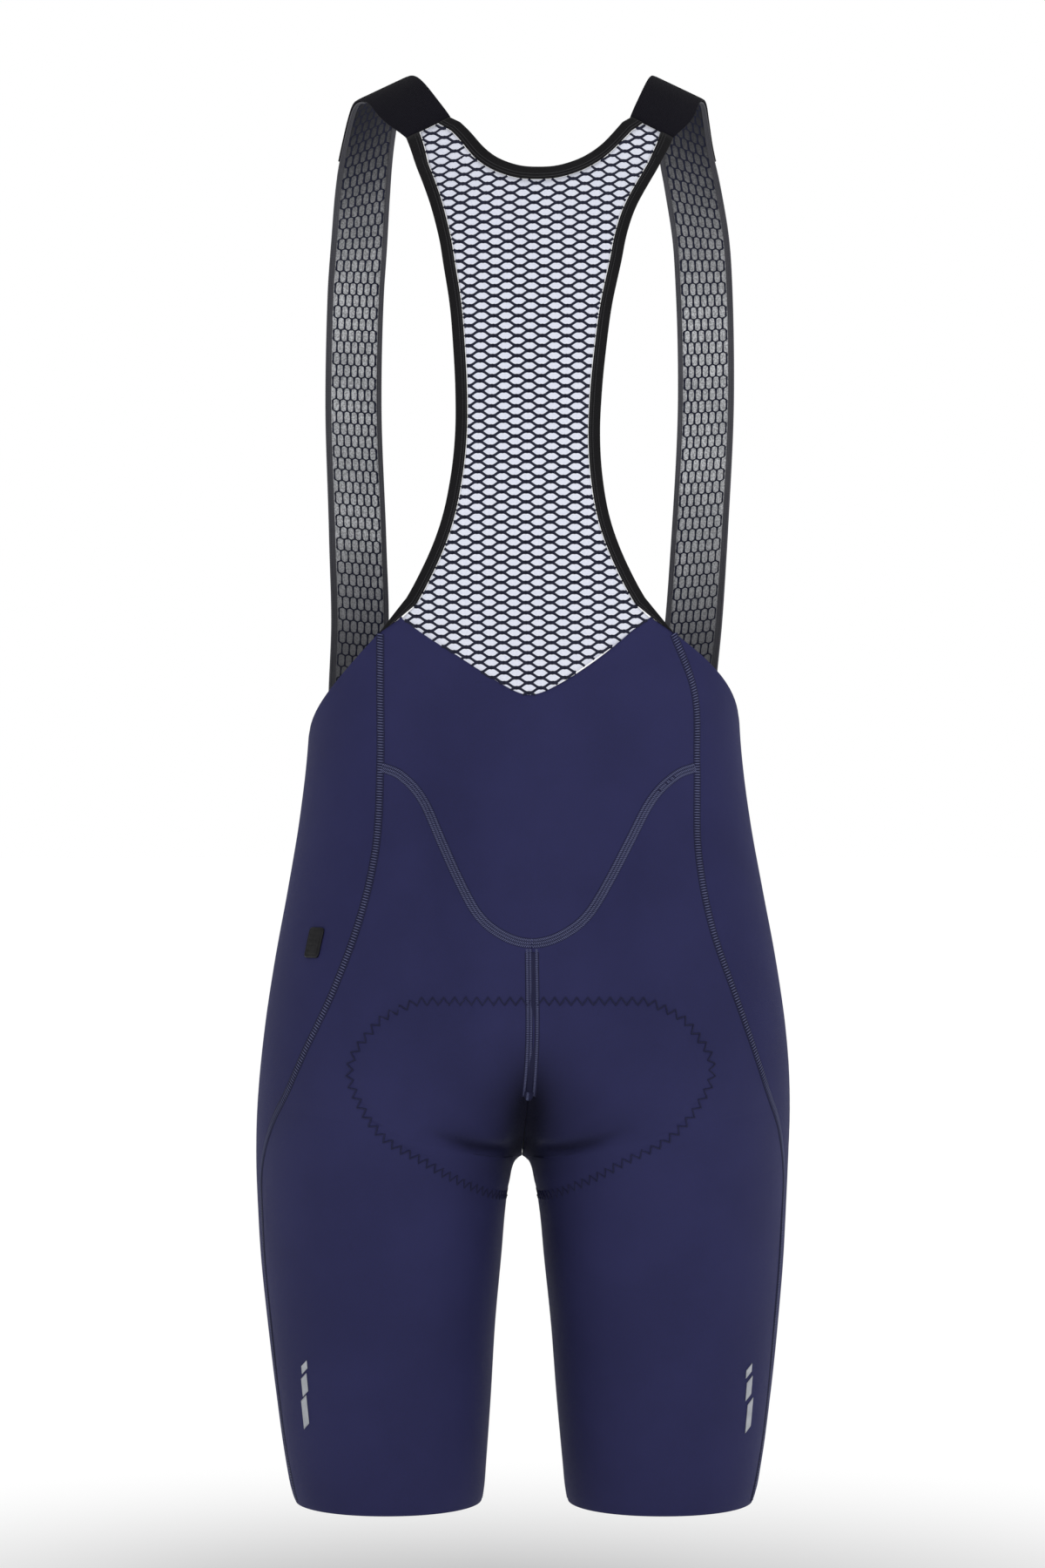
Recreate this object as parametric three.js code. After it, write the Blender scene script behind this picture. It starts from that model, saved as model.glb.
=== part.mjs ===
// Cycling bib shorts, filled out as if worn: a mesh back on two elastic straps, and stretch
// shorts with a seat pad. Each piece that a maker cuts and sews on is one closed cloth wall.
// Millimetres, +Z up, +X towards the wearer's left, +Y towards the back. The origin is midway
// between the shoulders, at the height where the straps rest on them.
import * as THREE from "three";

// Cloth thicknesses, the widths of what is sewn on, and the gaps that keep the pieces apart
const panelThick = 1.5;
const meshThick = 1.2;
const strapThick = 1.3;
const tabThick = 1.5;
const padThick = 7;
const padEdgeThick = 3;
const labelThick = 1.2;
const reflectorThick = 0.6;
const bindingOut = 0.7;
const bindingIn = 1.7;
const sideBindingWidth = 7.4;
const neckBindingWidth = 8;
const seamGap = 0.3;
const laidGap = 0.35;
const patchGap = 0.12;
const strapLift = 0.7;
const padGap = 2.6;
const strapLap = 12;
const yokeClearance = 1.45;
const cornerClearance = 0.018;
const tabClearance = 0.54;
const hemZ = -921;
const crotchZ = -697;

// The general figure that fills the garment, as two mirrored tubes: one for each leg and the hip
// above it. Columns: height, the tube's outer and inner side, its back and front, the power of its
// section (2 is an ellipse), and the width over which the two tubes melt together.
const figureRows = [
  [-60, 152, -104, 74, -72, 2.5, 6],
  [-110, 161, -110, 87, -92, 2.5, 6],
  [-165, 164, -112, 93, -103, 2.5, 6],
  [-230, 158, -108, 93, -108, 2.5, 6],
  [-300, 147, -102, 86, -109, 2.5, 6],
  [-360, 140.5, -96, 79, -111, 2.45, 8],
  [-424, 140.5, -90, 76, -114, 2.4, 10],
  [-480, 146.5, -84, 83, -116, 2.35, 14],
  [-525, 154, -76, 93, -115, 2.3, 20],
  [-570, 162, -66, 105, -112, 2.25, 28],
  [-615, 168.3, -51, 114, -107, 2.2, 36],
  [-645, 171, -32, 115, -103, 2.15, 36],
  [-670, 172.2, -13, 109, -100, 2.1, 30],
  [-697, 172.2, 5, 100, -97, 2.1, 20],
  [-729, 171.2, 10.4, 93, -94, 2.1, 20],
  [-763, 169.5, 13.6, 88, -91, 2.1, 20],
  [-808, 165.3, 18.1, 82, -86, 2.1, 20],
  [-853, 160, 21.3, 77, -79, 2.1, 20],
  [-898, 153.6, 25, 72, -71, 2.1, 20],
  [-912, 151, 26.2, 70.5, -69, 2.1, 20],
  [-921, 148.4, 27.6, 69, -67.5, 2.1, 20],
];

// The shoulder: its ridge falls outwards, and the figure rounds off below it
const ridgeAt = 74.7;
const ridgeFall = 0.468;
const shoulderDrop = 110;
const levelDrop = 140;

// Steps round a level cut and down the crotch line, and a distance that is well outside the figure
const sliceSteps = 56;
const crotchWalkSteps = 160;
const farOut = 240;

// How the garment sits on the figure, a little turned: columns height, shift to the left, and
// further shift for each 100 mm from the middle towards the back, behind it and in front of it
const turnRows = [
  [0, -3.4, -8, -6],
  [-20, -3.2, -10, -5.5],
  [-44, -2.9, -12, -4.5],
  [-68, -3.1, -6.8, -2],
  [-92, -3.8, -2, -0.8],
  [-130, -3.8, -0.6, -0.6],
  [-212, -2.6, 0.5, 0.5],
  [-300, -1.3, 1.1, 1.1],
  [-350, -0.8, 0.4, 0.4],
  [-402, 0, -3.2, -3.2],
  [-450, 0, -4, -4],
  [-557, 0, -4, -4],
  [-629, 0.8, -4.4, -4.4],
  [-672, 1.6, -3, -3],
  [-697, 2, -1.5, -1.5],
  [-740, 1.8, 0, 0],
  [-921, 0.5, 0, 0],
];

// The seam between back and side, from the top edge to the hem: height, distance, lean to the left
const sideSeamRows = [
  [-361, 92.6, 0],
  [-397, 99.6, -5.8],
  [-447, 100.6, -6.2],
  [-503, 102.5, -4.2],
  [-549, 112.2, -2.6],
  [-585, 125, -1.9],
  [-629, 143, 0],
  [-652, 152, 0],
  [-672, 160.5, 0],
  [-698, 166.5, 0],
  [-740, 166.5, 0],
  [-808, 161.5, 0],
  [-898, 150.6, 0],
  [-921, 145.6, 0],
];

// The curved seam across the seat: height against the fraction of the way out to the side seam
const seatSeamRows = [
  [-0.15, -552.6],
  [0, -557],
  [0.15, -552.6],
  [0.31, -539],
  [0.445, -517.3],
  [0.575, -493],
  [0.7, -468],
  [0.848, -452.5],
  [1, -446.5],
];

// The front top edge: height against the fraction of the way from the side seam to the centre
const frontTopRows = [
  [0, -361],
  [0.045, -373],
  [0.11, -389],
  [0.2, -407],
  [0.31, -423],
  [0.42, -431],
  [0.6, -438],
  [0.8, -443],
  [1, -446],
];

// The low point of the mesh back, and the fraction out to the side seam where its edge ends
const meshPointZ = -402.6;
const meshCornerZ = -353;
const meshCornerAt = 0.853;
const bindingEndAt = 0.993;

// The mesh back's bound side edge, height against distance, and its neck edge, the other way round
const meshSideRows = [
  [-46, 85],
  [-66, 77],
  [-79, 71],
  [-92, 65.4],
  [-113.5, 59],
  [-130, 56],
  [-157, 51],
  [-184.5, 48],
  [-212, 46],
  [-239, 45.6],
  [-266, 48],
  [-294, 54],
  [-321, 65],
  [-348, 81],
  [-361, 92],
];
const neckRows = [
  [-14.3, -66.4],
  [0, -68],
  [14.3, -66.4],
  [37, -53.8],
  [48, -41.3],
  [57.3, -31],
];

// The strap and its tab, from the mesh over the shoulder and down the front. The way along it is
// in degrees round the shoulder, and goes on at the same pace below it: inner and outer edge.
const tabBackEnd = -51.5;
const strapBackEnd = -14;
const strapLevelFrom = 100;
const strapFrontEnd = 258;
const frontEdgeFrom = 0.3;
const frontEdgeSteps = 40;
const tabSteps = 6;
const strapRows = [
  [-51.5, 57.3, 85],
  [-39, 64.6, 97],
  [-19, 73.4, 106],
  [0, 80, 112.6],
  [20, 83.4, 117],
  [35, 85.2, 120.5],
  [48, 87.5, 124.2],
  [85, 95.6, 132],
  [134, 99.3, 135.2],
  [180, 95.4, 131.4],
  [210, 92.2, 128.4],
  [264, 89.6, 126],
];

// The seat pad's half width, against the way along the crotch from its back edge to its front
const padBackZ = -593;
const padFrontZ = -640;
const padRows = [
  [0, 72],
  [0.03, 92],
  [0.07, 104],
  [0.106, 113],
  [0.152, 115],
  [0.19, 109],
  [0.245, 94],
  [0.3, 73],
  [0.37, 54],
  [0.46, 40],
  [0.545, 31],
  [0.66, 30],
  [0.78, 35],
  [0.88, 38],
  [0.95, 34],
  [1, 24],
];

// What is stuck on the outside: its distance out, height, size and thickness, the slant of its
// ends, the share cut off its corners and the steps of its grid
const hipLabel = {
  left: 136,
  z: -558,
  width: 13.5,
  height: 19.8,
  thick: labelThick,
  slant: 0,
  corner: 0.1,
  steps: 5,
};
const reflector = {
  left: 138.5,
  right: 143.5,
  rightDrop: 3,
  width: 5.4,
  thick: reflectorThick,
  slant: 4.2,
  corner: 0,
  steps: 2,
};

// The three marks down each leg: the height each is centred at, and its own height
const reflectorRows = [
  [-827.5, 5.2],
  [-838.9, 11.7],
  [-856.6, 18.4],
];

// A table's other columns at a place along its first one, joined smoothly from row to row
function along(rows, at) {
  const way = rows[1][0] > rows[0][0] ? 1 : -1;
  const last = rows.length - 1;
  const place = Math.min(Math.max(way * at, way * rows[0][0]), way * rows[last][0]);
  let i = 0;
  while (i < last - 1 && way * rows[i + 1][0] <= place) {
    i += 1;
  }
  const step = (k) => way * (rows[k + 1][0] - rows[k][0]);
  const slope = (k, c) => (rows[k + 1][c] - rows[k][c]) / step(k);
  const tangent = (k, c) => {
    if (k === 0) return slope(0, c);
    if (k === last) return slope(last - 1, c);
    return (slope(k - 1, c) * step(k) + slope(k, c) * step(k - 1)) / (step(k - 1) + step(k));
  };
  const h = step(i);
  const u = (place - way * rows[i][0]) / h;
  const u2 = u * u;
  const u3 = u2 * u;
  return rows[i].slice(1).map((value, k) => {
    const start = (2 * u3 - 3 * u2 + 1) * value + (u3 - 2 * u2 + u) * h * tangent(i, k + 1);
    return start + (3 * u2 - 2 * u3) * rows[i + 1][k + 1] + (u3 - u2) * h * tangent(i + 1, k + 1);
  });
}

// The figure's two tubes at a height
function sectionAt(z) {
  const [outer, inner, back, front, power, blend] = along(figureRows, z);
  return {
    midX: (outer + inner) / 2,
    midY: (back + front) / 2,
    halfX: (outer - inner) / 2,
    halfY: (back - front) / 2,
    power,
    blend,
  };
}

function tubeAt(s, x, y) {
  const across = Math.abs((x - s.midX) / s.halfX) ** s.power;
  const deep = Math.abs((y - s.midY) / s.halfY) ** s.power;
  return ((across + deep) ** (1 / s.power) - 1) * Math.min(s.halfX, s.halfY);
}

// Below nothing inside the figure, above nothing outside it
function figureAt(s, x, y) {
  const left = tubeAt(s, x, y);
  const right = tubeAt(s, -x, y);
  const near = Math.max(s.blend - Math.abs(left - right), 0) / s.blend;
  return Math.min(left, right) - (near * near * s.blend) / 4;
}

function slopeAt(p) {
  const e = 0.05;
  const s = sectionAt(p.z);
  return new THREE.Vector3(
    figureAt(s, p.x + e, p.y) - figureAt(s, p.x - e, p.y),
    figureAt(s, p.x, p.y + e) - figureAt(s, p.x, p.y - e),
    figureAt(sectionAt(p.z + e), p.x, p.y) - figureAt(sectionAt(p.z - e), p.x, p.y),
  ).divideScalar(2 * e);
}

const outwardAt = (p) => slopeAt(p).normalize();

// The place on the figure's surface nearest to a point
function onFigure(start) {
  const p = start.clone();
  for (let i = 0; i < 12; i += 1) {
    const g = slopeAt(p);
    p.addScaledVector(g, -figureAt(sectionAt(p.z), p.x, p.y) / g.lengthSq());
  }
  return p;
}

// Where a function that rises from below nothing to above it passes nothing
function passes(f, low, high) {
  let a = low;
  let b = high;
  for (let i = 0; i < 34; i += 1) {
    const m = (a + b) / 2;
    if (f(m) < 0) a = m;
    else b = m;
  }
  return (a + b) / 2;
}

// The figure's back or front at a place, seen square on
function depthAt(x, z, way) {
  const s = sectionAt(z);
  return s.midY + way * passes((d) => figureAt(s, x, s.midY + way * d), 0, farOut);
}

// The left half of a level cut through the figure, from the centre back or the inside of the leg
// round the outer side to the front: places by angle, with the length walked to each
const slices = new Map();
function sliceAt(z) {
  if (slices.has(z)) return slices.get(z);
  const s = sectionAt(z);
  const reach = (angle) => {
    const c = Math.cos(angle);
    const d = Math.sin(angle);
    const middle = c < 0 ? s.midX / -c : farOut;
    const far = Math.min(middle, farOut);
    const r = passes((q) => figureAt(s, s.midX + q * c, s.midY + q * d), 0, far);
    return new THREE.Vector3(s.midX + r * c, s.midY + r * d, z);
  };
  let first = Math.PI;
  let last = -Math.PI;
  if (z > crotchZ) {
    first = Math.atan2(Math.max(depthAt(0, z, 1) - s.midY, 1e-4), -s.midX);
    last = -Math.atan2(Math.max(s.midY - depthAt(0, z, -1), 1e-4), -s.midX);
  }
  const count = sliceSteps;
  const angles = Array.from({ length: count + 1 }, (_, i) => first + ((last - first) * i) / count);
  const places = angles.map(reach);
  const walked = [0];
  for (let i = 1; i <= count; i += 1) {
    walked.push(walked[i - 1] + places[i].distanceTo(places[i - 1]));
  }
  const slice = { angles, places, walked, reach, length: walked[count] };
  slices.set(z, slice);
  return slice;
}

// The place on the left half's surface after a given length of a level cut
function placeOn(slice, length) {
  let i = 1;
  while (i < slice.walked.length - 1 && slice.walked[i] < length) {
    i += 1;
  }
  const share = (length - slice.walked[i - 1]) / (slice.walked[i] - slice.walked[i - 1]);
  return slice.reach(slice.angles[i - 1] + (slice.angles[i] - slice.angles[i - 1]) * share);
}

// The length of a level cut up to the seam between back and side
function seamOn(slice, z, side) {
  const [distance, lean] = along(sideSeamRows, z);
  const x = distance + side * lean;
  let i = 1;
  while (i < slice.places.length - 1 && slice.places[i].x < x) {
    i += 1;
  }
  const share = (x - slice.places[i - 1].x) / (slice.places[i].x - slice.places[i - 1].x);
  return slice.walked[i - 1] + (slice.walked[i] - slice.walked[i - 1]) * share;
}

// Points made for the left half, moved to their side and turned with the garment
function turned(p, side) {
  const [shift, back, front] = along(turnRows, p.z);
  const twist = p.y > 0 ? back : front;
  return new THREE.Vector3(side * p.x + shift + (twist * p.y) / 100, p.y, p.z);
}

const group = new THREE.Group();
const colours = {
  navy: 0x2b2b4b,
  mesh: 0x8d8fa6,
  strap: 0x6b6c70,
  black: 0x17161a,
  pad: 0x3a3f55,
  silver: 0xb4b8bd,
};

// A closed wall between two grids of points, outside and inside
function addWall(name, colour, outside, inside) {
  const rows = outside.length;
  const columns = outside[0].length;
  const points = [...outside.flat(), ...inside.flat()];
  const half = rows * columns;
  const at = (r, c) => r * columns + c;
  const faces = [];
  const quad = (a, b, c, d) => faces.push(a, b, c, a, c, d);
  for (let r = 0; r < rows - 1; r += 1) {
    for (let c = 0; c < columns - 1; c += 1) {
      quad(at(r, c), at(r + 1, c), at(r + 1, c + 1), at(r, c + 1));
      const [a, b, d, e] = [at(r, c), at(r + 1, c), at(r + 1, c + 1), at(r, c + 1)];
      faces.push(half + a, half + d, half + b, half + a, half + e, half + d);
    }
  }
  for (let c = 0; c < columns - 1; c += 1) {
    quad(at(0, c), at(0, c + 1), half + at(0, c + 1), half + at(0, c));
    const [low, next] = [at(rows - 1, c), at(rows - 1, c + 1)];
    quad(next, low, half + low, half + next);
  }
  for (let r = 0; r < rows - 1; r += 1) {
    quad(at(r + 1, 0), at(r, 0), half + at(r, 0), half + at(r + 1, 0));
    const [end, below] = [at(r, columns - 1), at(r + 1, columns - 1)];
    quad(end, below, half + below, half + end);
  }
  let volume = 0;
  for (let i = 0; i < faces.length; i += 3) {
    const [a, b, c] = [points[faces[i]], points[faces[i + 1]], points[faces[i + 2]]];
    volume += a.dot(b.clone().cross(c));
  }
  if (volume < 0) {
    faces.reverse();
  }
  const geometry = new THREE.BufferGeometry();
  const places = points.flatMap((p) => p.toArray());
  geometry.setAttribute("position", new THREE.Float32BufferAttribute(places, 3));
  geometry.setIndex(faces);
  geometry.computeVertexNormals();
  const mesh = new THREE.Mesh(
    geometry,
    new THREE.MeshStandardMaterial({ color: colour, roughness: 0.9, name: `${name}_material` }),
  );
  mesh.name = name;
  group.add(mesh);
}

// A wall whose grid of places and outward directions comes from a function of row and column
function addSheet(name, colour, side, rows, columns, outer, inner, place) {
  const grid = (part) =>
    Array.from({ length: rows }, (_, r) =>
      Array.from({ length: columns }, (_unused, c) => {
        const { point, outward } = place(r, c);
        const [high, low] = [outer, inner].map((v) => (typeof v === "function" ? v(r, c) : v));
        return turned(point.clone().addScaledVector(outward, part === "outer" ? high : low), side);
      }),
    );
  addWall(name, colour, grid("outer"), grid("inner"));
}

const spread = (count, from, to) =>
  Array.from({ length: count + 1 }, (_, i) => from + ((to - from) * i) / count);
const mix = (a, b, t) => a + (b - a) * t;
const ease = (t) => t * t * (3 - 2 * t);

// Heights down the centre back or front to the crotch, at even steps along the curve
function crotchHeights(topZ, steps, way) {
  const count = crotchWalkSteps;
  const heights = spread(count, 0, 1).map((t) => mix(topZ, crotchZ, 1 - (1 - t) ** 3));
  const ys = heights.map((z, i) => (i === count ? sectionAt(z).midY : depthAt(0, z, way)));
  const walked = [0];
  for (let i = 1; i <= count; i += 1) {
    walked.push(walked[i - 1] + Math.hypot(heights[i] - heights[i - 1], ys[i] - ys[i - 1]));
  }
  return spread(steps, 0, walked[count]).map((length) => {
    let i = 1;
    while (i < count && walked[i] < length) {
      i += 1;
    }
    return mix(heights[i - 1], heights[i], (length - walked[i - 1]) / (walked[i] - walked[i - 1]));
  });
}

// Rows of the shorts: heights at the side seam, at the centre back and at the centre front
const yokeSteps = 5;
const hipSteps = 12;
const legSteps = 13;
const crotchSideZ = -664;
const seatTopZ = along(seatSeamRows, 1)[0];
const seatLowZ = along(seatSeamRows, 0)[0];
const frontHighZ = along(frontTopRows, 0)[0];
const frontLowZ = along(frontTopRows, 1)[0];
const yokeSides = spread(yokeSteps, frontHighZ, seatTopZ);
const legSides = [
  ...spread(hipSteps, seatTopZ, crotchSideZ),
  ...spread(legSteps, crotchSideZ, hemZ).slice(1),
];
const legInsides = spread(legSteps, crotchZ, hemZ).slice(1);
const backEnds = [...crotchHeights(seatLowZ, hipSteps, 1), ...legInsides];
const frontEnds = [...crotchHeights(frontLowZ, yokeSteps + hipSteps, -1), ...legInsides];
const frontSides = [...yokeSides.slice(0, -1), ...legSides];

const halfGap = seamGap / 2;
const evenRows = 4;
const edgeRows = 9;
const seatSeamSpan = 105;
const onSurface = (point) => ({ point, outward: outwardAt(point) });

// Fractions out to the side seam where the yoke and the backs of the legs have their columns
const backColumns = [0, 0.06, 0.14, 0.24, 0.34, 0.44, 0.54, 0.64, 0.75, meshCornerAt, 0.93, 1];
const cornerColumn = backColumns.indexOf(meshCornerAt);

// Half the seam's gap, measured upright, where the curved seam climbs
function seatGap(t) {
  const climb = (along(seatSeamRows, t + 0.01)[0] - along(seatSeamRows, t - 0.01)[0]) / 0.02;
  return halfGap * Math.hypot(1, climb / seatSeamSpan);
}

// The back of each leg and its half of the seat, from the curved seam to the hem
function addBackLeg(name, side) {
  const rows = legSides.length;
  addSheet(name, colours.navy, side, rows, backColumns.length, 0, -panelThick, (r, c) => {
    const t = backColumns[c];
    const rise = (along(seatSeamRows, t)[0] - seatLowZ) / (seatTopZ - seatLowZ);
    const z = mix(backEnds[r], legSides[r], rise) - (r === 0 ? seatGap(t) : 0);
    const slice = sliceAt(z);
    const seam = seamOn(slice, z, side);
    const level = mix(halfGap, seam - halfGap, t);
    const whole = seamOn(sliceAt(backEnds[r]), backEnds[r], side) - seamGap;
    const even = seam - halfGap - (1 - t) * whole;
    return onSurface(placeOn(slice, mix(level, even, Math.min(r / evenRows, 1))));
  });
}

// The front and outer side of each leg and hip, from the top edge to the hem
function addFrontLeg(name, side) {
  const columns = [0, 0.045, 0.11, 0.2, 0.29, 0.38, 0.47, 0.56, 0.64, 0.72, 0.79, 0.86, 0.93, 1];
  addSheet(name, colours.navy, side, frontSides.length, columns.length, 0, -panelThick, (r, c) => {
    const t = columns[c];
    const edge = (along(frontTopRows, t)[0] - frontHighZ) / (frontLowZ - frontHighZ);
    const fall = mix(edge, ease(t), Math.min(r / edgeRows, 1));
    const z = mix(frontSides[r], frontEnds[r], fall);
    const slice = sliceAt(z);
    const seam = seamOn(slice, z, side);
    const level = mix(seam + halfGap, slice.length - halfGap, t);
    const end = sliceAt(frontEnds[r]);
    const whole = end.length - seamOn(end, frontEnds[r], side) - seamGap;
    const even = seam + halfGap + t * whole;
    return onSurface(placeOn(slice, mix(level, even, Math.min(r / evenRows, 1))));
  });
}

// The waist panel at the back, between the mesh's low point and the curved seam
function yokeTopZ(t) {
  if (t > meshCornerAt) {
    const past = (t - meshCornerAt) / (1 - meshCornerAt);
    return mix(meshCornerZ, frontHighZ, past);
  }
  const tip = 0.1;
  const climb = (Math.hypot(t, tip) - tip) / (Math.hypot(meshCornerAt, tip) - tip);
  return mix(meshPointZ, meshCornerZ, climb);
}

function onYoke(t, z, side, gap) {
  const slice = sliceAt(z);
  return placeOn(slice, t * (seamOn(slice, z, side) - gap));
}

function addYoke() {
  const right = backColumns.slice(1).reverse();
  const columns = [...right.map((t) => [t, -1]), ...backColumns.map((t) => [t, 1])];
  const grid = (offset) =>
    spread(yokeSteps, 0, 1).map((v) =>
      columns.map(([t, side]) => {
        const z = mix(yokeTopZ(t), along(seatSeamRows, t)[0] + seatGap(t), v);
        const point = onYoke(t, z, side, halfGap);
        return turned(point.clone().addScaledVector(outwardAt(point), offset), side);
      }),
    );
  addWall("back_yoke", colours.navy, grid(0), grid(-panelThick));
}

// The figure above the waist: its back and front round off over the shoulder's ridge
const ridgeZ = (x) => -ridgeFall * (x - ridgeAt);
function rounding(x, z) {
  const below = Math.max(ridgeZ(x) - z, 0);
  if (below >= shoulderDrop) return 1;
  const c = 1 - below / shoulderDrop;
  return Math.sqrt(1 - c * c);
}

function onUpper(x, z, way) {
  const out = Math.abs(x);
  return new THREE.Vector3(x, depthAt(out, z, way) * rounding(out, z), z);
}

// The outward direction of a grid of places, from its neighbours
function outwardOf(place, r, c, rows, columns) {
  const up = place(Math.max(r - 1, 0), c);
  const down = place(Math.min(r + 1, rows - 1), c);
  const left = place(r, Math.max(c - 1, 0));
  const right = place(r, Math.min(c + 1, columns - 1));
  return down.sub(up).cross(right.sub(left)).normalize();
}

// A sheet above the waist, made from its places alone
function addUpper(name, colour, side, rows, columns, outer, inner, place) {
  const middle = place(Math.floor(rows / 2), Math.floor(columns / 2));
  const trial = outwardOf(place, Math.floor(rows / 2), Math.floor(columns / 2), rows, columns);
  const away = trial.y * middle.y > 0 ? 1 : -1;
  addSheet(name, colour, side, rows, columns, outer, inner, (r, c) => ({
    point: place(r, c),
    outward: outwardOf(place, r, c, rows, columns).multiplyScalar(away),
  }));
}

// Edges of the mesh back, as places (x, z) on its left half
const meshSteps = 15;
const meshHeights = spread(meshSteps, meshSideRows[0][0], frontHighZ);
const dropAt = (way) => shoulderDrop * (1 - Math.cos((way * Math.PI) / 180));
const tabLineZ = (x) => ridgeZ(x) - dropAt(tabBackEnd);

// A place moved square across the edge curve it is on, towards the cloth
function movedIn(curve, at, width) {
  const e = 0.5;
  const [x0, z0] = curve(at - e);
  const [x1, z1] = curve(at + e);
  const [x, z] = curve(at);
  const length = Math.hypot(x1 - x0, z1 - z0);
  return [x + ((z1 - z0) * width) / length, z - ((x1 - x0) * width) / length];
}

const sideCurve = (z) => [along(meshSideRows, z)[0], z];
const neckCurve = (x) => [x, along(neckRows, x)[0]];

// The side edge at a row, a given width in from it: its ends lie along the tab and the yoke
function meshSide(r, width) {
  if (r === 0) {
    const x = meshSideRows[0][1] - width * 1.1;
    return [x, tabLineZ(x) - tabClearance];
  }
  if (r === meshSteps) {
    const share = width / sideBindingWidth;
    const inward = meshCornerAt - cornerClearance;
    const t = share > 1 ? inward : mix(bindingEndAt, meshCornerAt, share);
    const z = yokeTopZ(t);
    return [onYoke(t, z, 1, halfGap).x, z + yokeClearance];
  }
  return movedIn(sideCurve, meshHeights[r], -width);
}

// The neck edge at a fraction of the way out to the tab, a given width in from it
const neckHalf = neckRows[neckRows.length - 1][0];
function neckSide(t, width) {
  if (t > 0.999) {
    const x = neckHalf + width * 0.95;
    return [x, tabLineZ(x) - tabClearance];
  }
  return movedIn(neckCurve, t * neckHalf, width);
}

function addMeshBack() {
  const half = backColumns.slice(0, cornerColumn + 1).map((t) => t / meshCornerAt);
  const columns = [...half.slice(1).map((u) => -u).reverse(), ...half];
  const tabFrom = half[half.length - 2];
  const top = (u) => {
    const out = Math.abs(u);
    if (out <= tabFrom + 1e-9) return neckSide(out / tabFrom, neckBindingWidth + seamGap);
    return meshSide(0, sideBindingWidth + seamGap);
  };
  const bottom = (u) => {
    const t = Math.abs(u) * meshCornerAt;
    if (Math.abs(u) > 0.999) return meshSide(meshSteps, sideBindingWidth + seamGap);
    const z = yokeTopZ(t);
    return [onYoke(t, z, 1, halfGap).x, z + seamGap];
  };
  const place = (r, c) => {
    const u = columns[c];
    const out = Math.abs(u);
    const v = r / meshSteps;
    const edge = meshSide(r, sideBindingWidth + seamGap);
    const ends = [top(out), bottom(out)];
    const corners = [top(1), bottom(1)];
    const centre = [top(0), bottom(0)];
    const [x, z] = [0, 1].map((k) => {
      const lengthwise = mix(ends[0][k], ends[1][k], v);
      const middle = mix(centre[0][k], centre[1][k], v);
      const across = mix(middle, edge[k], out);
      const both = mix(middle, mix(corners[0][k], corners[1][k], v), out);
      return lengthwise + across - both;
    });
    return onUpper(Math.sign(u) * x, z, 1);
  };
  addUpper("mesh_back", colours.mesh, 1, meshSteps + 1, columns.length, 0, -meshThick, place);
}

function addBindings() {
  for (const [name, side] of [["left", 1], ["right", -1]]) {
    const place = (r, c) => {
      const [x, z] = meshSide(r, sideBindingWidth * c);
      return onUpper(x, z, 1);
    };
    const title = `side_binding_${name}`;
    addUpper(title, colours.black, side, meshSteps + 1, 2, bindingOut, -bindingIn, place);
  }
  const steps = backColumns.slice(0, cornerColumn).map((t) => t / backColumns[cornerColumn - 1]);
  const ends = [...steps.slice(1).map((t) => -t).reverse(), ...steps];
  const place = (r, c) => {
    const [x, z] = neckSide(Math.abs(ends[r]), neckBindingWidth * c);
    return onUpper(Math.sign(ends[r]) * x, z, 1);
  };
  addUpper("neck_binding", colours.black, 1, ends.length, 2, bindingOut, -bindingIn, place);
}

// A place on the strap's line over the shoulder: way along it, and fraction across it
function onStrap(way, across) {
  const [inner, outer] = along(strapRows, way);
  const x = mix(inner, outer, across);
  const beyond = Math.max(way - 90, 0) * shoulderDrop * (Math.PI / 180);
  const drop = dropAt(Math.min(way, 90)) + beyond;
  const level = way < 0 ? 1 : 1 - ease(Math.min(drop / levelDrop, 1));
  return onUpper(x, ridgeZ(x) * level - drop, way < 0 ? 1 : -1);
}

// The front top edge's height at a distance out, for the straps' lower ends
function frontEdgeZ(x) {
  const edge = spread(frontEdgeSteps, frontEdgeFrom, 1).map((t) => {
    const z = along(frontTopRows, t)[0];
    const slice = sliceAt(z);
    return placeOn(slice, mix(seamOn(slice, z, 1), slice.length, t));
  });
  let i = 1;
  while (i < edge.length - 1 && edge[i].x > x) {
    i += 1;
  }
  return mix(edge[i - 1].z, edge[i].z, (edge[i - 1].x - x) / (edge[i - 1].x - edge[i].x));
}

const shoulderWays = spread(12, strapBackEnd, strapLevelFrom);

function addStraps() {
  const across = [0, 0.34, 0.67, 1];
  const lowest = across.map((u) => frontEdgeZ(onStrap(strapFrontEnd, u).x) - strapLap);
  const ways = [...shoulderWays, ...spread(15, strapLevelFrom, strapFrontEnd).slice(1)];
  for (const [name, side] of [["left", 1], ["right", -1]]) {
    const place = (r, c) => {
      const p = onStrap(ways[r], across[c]);
      if (ways[r] <= strapLevelFrom) return p;
      const share = (ways[r] - strapLevelFrom) / (strapFrontEnd - strapLevelFrom);
      const level = mix(onStrap(strapLevelFrom, across[c]).z, lowest[c], share);
      return onUpper(p.x, level, -1);
    };
    const lift = (r) => strapLift * ease(r / (ways.length - 1));
    const rise = (r) => strapThick + lift(r);
    addUpper(`strap_${name}`, colours.strap, side, ways.length, across.length, rise, lift, place);
    addTab(`shoulder_tab_${name}`, side, across);
  }
}

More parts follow.
